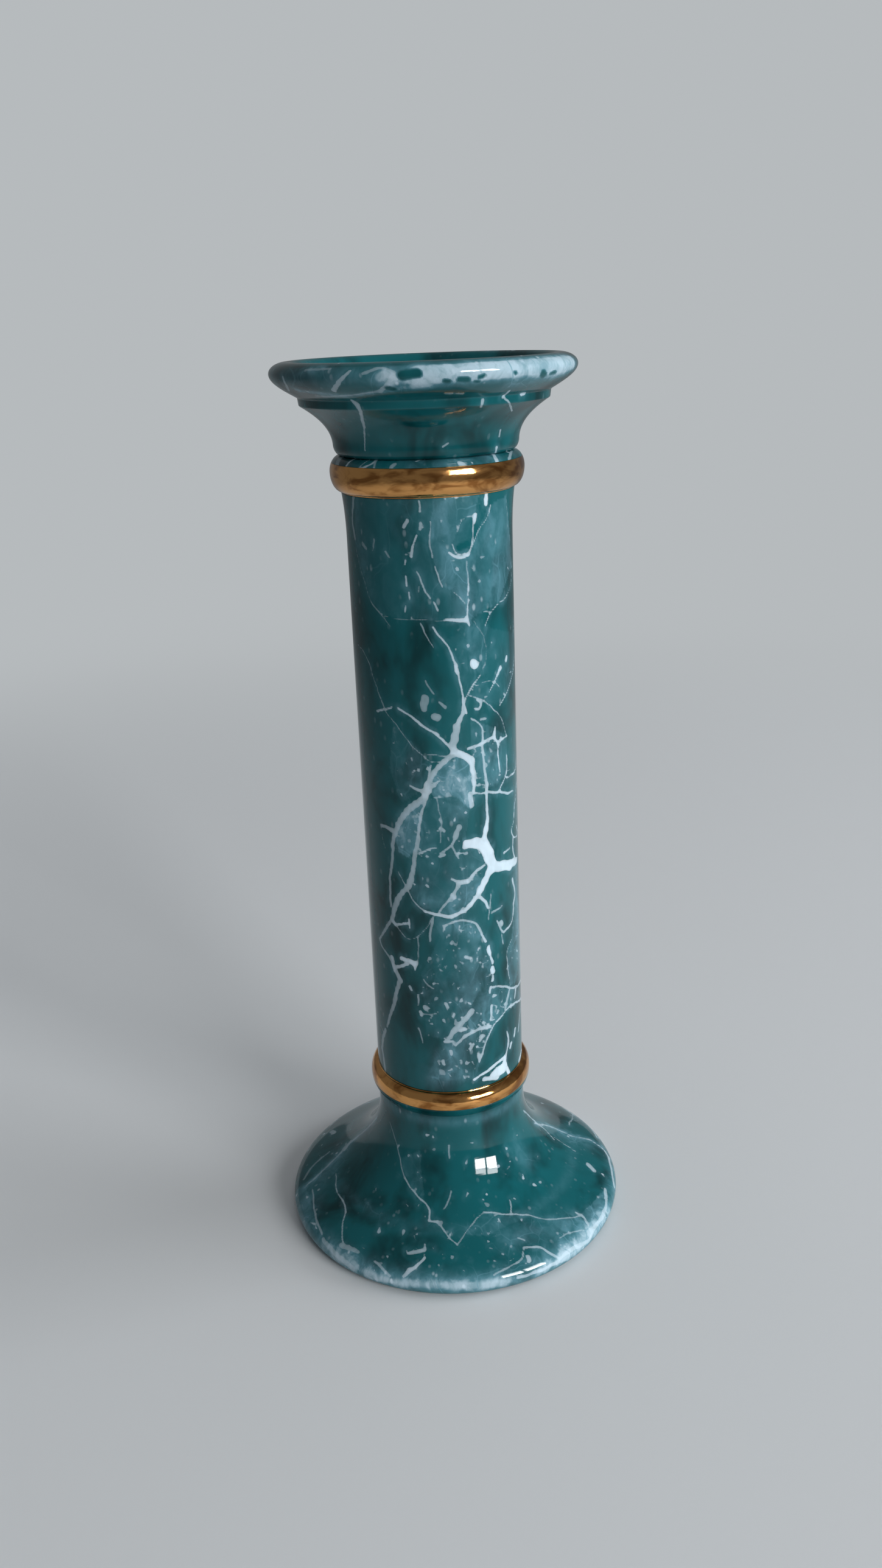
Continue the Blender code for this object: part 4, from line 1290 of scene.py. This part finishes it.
def room_strength(tree):
    """Strength of the room: low as light, paler where it is seen, mirrored or looked through."""
    rays = tree.nodes.new("ShaderNodeLightPath").outputs
    seen, mirrored, through = (Value(tree, rays["Is %s Ray" % kind])
                               for kind in ("Camera", "Glossy", "Transmission"))
    return ROOM_LIGHT + ROOM_SEEN * seen + ROOM_MIRRORED * (mirrored + through)


def pale_floor():
    """Plain pale matt floor and backdrop, which fade into the room away from the object."""
    stage = Finish("pale_floor")
    stage.shader.inputs["Base Color"].default_value = tuple(colours().floor)
    stage.shader.inputs["Roughness"].default_value = FLOOR_ROUGHNESS
    away = stage.node("ShaderNodeVectorMath", {"operation": "LENGTH"}, {0: stage.place()}, "Value")
    room = stage.node("ShaderNodeEmission", {}, {
        "Color": ROOM_COLOUR, "Strength": room_strength(stage.tree)})
    faded = stage.node("ShaderNodeMixShader", {}, {
        0: stage.step(away, *FLOOR_FADE), 1: Value(stage.tree, stage.shader.outputs[0]), 2: room})
    stage.tree.links.new(faded.socket, stage.tree.nodes["Material Output"].inputs["Surface"])
    return stage.material


def finish_named(name, make):
    """The material of that name, made the first time it is asked for."""
    return bpy.data.materials.get(name) or make()


def place_piece(name, mesh, node, material):
    """Links a finished piece, which rides on the one body and stands for its CAD node."""
    mesh.materials.append(material)
    piece = bpy.data.objects.new(name, mesh)
    bpy.context.scene.collection.objects.link(piece)
    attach(piece, "root")
    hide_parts(node)


def store(mesh, name, values):
    """Keeps one number for each vertex, for the finish to read."""
    field = mesh.attributes.new(name, "FLOAT", "POINT")
    field.data.foreach_set("value", np.asarray(values, np.float32))


def glass_piece(name, node, kind, section, closed, spacing, veins, edge_milk_and_light):
    """A marbled glass section: softened, refined, turned, and given its marbling fields."""
    section = refine(soften(section, sizes().edge_round, closed), spacing, closed)
    mesh, points = turned_mesh(name, section, COLUMNS[kind], closed)
    normals = np.empty(points.shape, np.float32)
    mesh.vertex_normals.foreach_get("vector", normals.reshape(-1))
    vein, white, milk, share = marbling(kind, points, normals, veins)
    store(mesh, "vein", vein)
    store(mesh, "white", white)
    # The edge milk carries painted light on the side of the edges towards the windows
    store(mesh, "milk", np.clip(milk + edge_milk_and_light(points) * share, 0.0, 1.0))
    place_piece(name, mesh, node, finish_named("veined_glass", marbled_glass))


class CANDLESTICK_OT_foot(bpy.types.Operator):
    """Turns the marbled foot with its flare, edge and hollow"""
    bl_idname = "candlestick.foot"
    bl_label = "Foot"

    def execute(self, context):
        def spacing(point, way):
            hidden = way[1] >= 0.0 or point[1] > sizes().foot_shoulder
            return HIDDEN_STEP["foot"] if hidden else ROW_STEP["foot"]

        def edge(points):
            radius, height = np.hypot(points[:, 0], points[:, 1]), points[:, 2]
            neck = ring_milk(height, *NECK_RING) * (radius > NECK_FROM)
            flare = ring_milk(radius, *FLARE_RING) * (height > FLARE_FROM)
            return neck + flare + rim_milk_and_light(points, FOOT_BOX[1].x, *FOOT_RIM)

        glass_piece("marbled_foot", "foot", "foot", foot_section(), True, spacing,
                    {**FOOT_VEINS, **SHAFT_VEINS}, edge)
        return {"FINISHED"}


class CANDLESTICK_OT_shaft(bpy.types.Operator):
    """Turns the marbled tubular shaft"""
    bl_idname = "candlestick.shaft"
    bl_label = "Shaft"

    def execute(self, context):
        def spacing(point, way):
            outside = point[0] > sizes().shaft_radius - SHAFT_MARGIN
            return ROW_STEP["shaft"] if outside else HIDDEN_STEP["shaft"]

        glass_piece("marbled_shaft", "shaft", "shaft", shaft_section(), True, spacing,
                    SHAFT_VEINS, lambda points: 0.0)
        return {"FINISHED"}


class CANDLESTICK_OT_cup(bpy.types.Operator):
    """Turns the marbled candle cup with its lip, cove, dish and taper socket"""
    bl_idname = "candlestick.cup"
    bl_label = "Candle cup"

    def execute(self, context):
        def spacing(point, way):
            if way[1] >= 0.0:
                return ROW_STEP["dish"]
            outside = point[1] > UPPER_BOX[1].z and point[0] > sizes().groove_radius
            return ROW_STEP["cup"] if outside else HIDDEN_STEP["cup"]

        def edge(points):
            return rim_milk_and_light(points, CUP_BOX[1].x, *LIP_RIM)

        glass_piece("marbled_candle_cup", "candle_cup", "cup", cup_section(), False, spacing,
                    {**CUP_VEINS, **SHAFT_VEINS}, edge)
        return {"FINISHED"}


class CANDLESTICK_OT_collars(bpy.types.Operator):
    """Turns the two gilt collars on the beads"""
    bl_idname = "candlestick.collars"
    bl_label = "Gilt collars"

    def execute(self, context):
        for name, node, section in (
                ("lower_gilt_band", "lower_gilt_collar", lower_collar_section()),
                ("upper_gilt_band", "upper_gilt_collar", upper_collar_section())):
            soft = soften(section, GILT_ROUND * sizes().edge_round, True)
            rows = refine(soft, lambda point, way: ROW_STEP["gilt"], True)
            mesh, _ = turned_mesh(name, rows, COLUMNS["gilt"], True)
            place_piece(name, mesh, node, finish_named("polished_gilt", polished_gilt))
        return {"FINISHED"}


def sweep_mesh(name, half_width, front, back, height, bend_radius):
    """Floor that curves up into a backdrop: a bent line carried straight across.

    The line runs back along y, turns up through a quarter circle of bend_radius, then rises.
    """
    a = np.radians(np.linspace(0.0, 90.0, 24))
    turn = np.stack([back - bend_radius + bend_radius * np.sin(a),
                     bend_radius * (1 - np.cos(a))], 1)
    path = np.concatenate([[[front, 0.0]], turn, [[back, height]]])
    across = np.array([-half_width, half_width])
    grid = np.empty((len(path), 2, 3))
    grid[..., 0] = across
    grid[..., 1:] = path[:, None]
    index = np.arange(2 * len(path)).reshape(-1, 2)
    faces = np.stack([index[:-1, 0], index[:-1, 1], index[1:, 1], index[1:, 0]], 1)
    mesh = bpy.data.meshes.new(name)
    mesh.from_pydata(grid.reshape(-1, 3).tolist(), [], faces.tolist())
    mesh.polygons.foreach_set("use_smooth", np.ones(len(mesh.polygons), bool))
    return mesh


def area_lamp(name, place, target, size, power, colour):
    """A soft rectangular lamp at place that faces target."""
    data = bpy.data.lights.new(name, "AREA")
    data.shape = "RECTANGLE"
    data.size, data.size_y = size
    data.energy = power
    data.color = colour
    lamp = bpy.data.objects.new(name, data)
    lamp.location = place
    lamp.rotation_euler = (Vector(target) - Vector(place)).to_track_quat("-Z", "Y").to_euler()
    bpy.context.scene.collection.objects.link(lamp)
    return lamp


def hang_lamps():
    """Two windows with two bright panes each, and two soft panels that nothing mirrors."""
    for name, bearing in WINDOW_BEARINGS.items():
        across = np.array([np.sin(np.radians(bearing)), -np.cos(np.radians(bearing)), 0.0])
        area_lamp("window_" + name, WINDOW_AWAY * across + (0, 0, WINDOW_HEIGHT),
                  (0, 0, WINDOW_HEIGHT), WINDOW_SIZE, WINDOW_WATTS, DAYLIGHT)
        for pane, (height, tall, power) in GLINTS.items():
            glint = area_lamp("glint_%s_%s" % (name, pane), GLINT_AWAY * across + (0, 0, height),
                              (0, 0, height), (GLINT_WIDTH, tall), power, DAYLIGHT)
            glint.visible_diffuse = False
    for name, (place, side, power, colour) in PANELS.items():
        panel = area_lamp(name, place, PANEL_TARGET, (side, side), power, colour)
        panel.visible_glossy = False


def soft_room():
    """World with the colour and the strength of the room."""
    world = bpy.data.worlds.new("soft_room")
    world.use_nodes = True
    tree = world.node_tree
    room = tree.nodes["Background"].inputs
    room["Color"].default_value = ROOM_COLOUR
    tree.links.new(room_strength(tree).socket, room["Strength"])
    return world


def photo_camera():
    """Camera with the place, the turn and the field of view of the photograph."""
    data = bpy.data.cameras.new("photo_camera")
    data.sensor_fit = "VERTICAL"
    data.sensor_height = SENSOR_LONG_SIDE
    data.lens = SENSOR_LONG_SIDE * FOCAL_PIXELS / PHOTO_SIZE[1]
    data.clip_start = CAMERA_CLIP_START
    camera = bpy.data.objects.new("photo_camera", data)
    right, up, forward = camera_axes()
    turn = Matrix(np.stack([right, up, -forward], 1).tolist()).to_4x4()
    camera.matrix_world = Matrix.Translation(CAMERA_PLACE.tolist()) @ turn
    return camera


class CANDLESTICK_OT_stage(bpy.types.Operator):
    """Sets the pale floor, the soft lamps and the camera of the photograph"""
    bl_idname = "candlestick.stage"
    bl_label = "Stage"

    def execute(self, context):
        scene = context.scene
        mesh = sweep_mesh("pale_sweep", **SWEEP)
        mesh.materials.append(finish_named("pale_floor", pale_floor))
        sweep = bpy.data.objects.new("pale_sweep", mesh)
        scene.collection.objects.link(sweep)
        hang_lamps()
        scene.world = soft_room()
        scene.camera = photo_camera()
        scene.collection.objects.link(scene.camera)
        scene.view_settings.view_transform = "Standard"
        return {"FINISHED"}


class CANDLESTICK_PT_panel(bpy.types.Panel):
    """Lists the pieces, sizes and colours of the candlestick"""
    bl_idname = "CANDLESTICK_PT_panel"
    bl_label = "Candlestick"
    bl_space_type = "VIEW_3D"
    bl_region_type = "UI"
    bl_category = "Candlestick"

    def draw(self, context):
        for operator in OPERATORS:
            self.layout.operator(operator.bl_idname)
        for group in (context.scene.candlestick_sizes, context.scene.candlestick_finish):
            for name in group.__annotations__:
                self.layout.prop(group, name)


OPERATORS = (CANDLESTICK_OT_foot, CANDLESTICK_OT_shaft, CANDLESTICK_OT_cup,
             CANDLESTICK_OT_collars, CANDLESTICK_OT_stage)
CLASSES = (CandlestickSizes, CandlestickFinish, *OPERATORS, CANDLESTICK_PT_panel)


def register():
    for cls in CLASSES:
        bpy.utils.register_class(cls)
    bpy.types.Scene.candlestick_sizes = PointerProperty(type=CandlestickSizes)
    bpy.types.Scene.candlestick_finish = PointerProperty(type=CandlestickFinish)


def unregister():
    del bpy.types.Scene.candlestick_finish
    del bpy.types.Scene.candlestick_sizes
    for cls in reversed(CLASSES):
        bpy.utils.unregister_class(cls)


def main():
    """Registers the add-on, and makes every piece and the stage."""
    register()
    bpy.ops.candlestick.foot()
    bpy.ops.candlestick.shaft()
    bpy.ops.candlestick.cup()
    bpy.ops.candlestick.collars()
    bpy.ops.candlestick.stage()


if __name__ == "__main__":
    main()
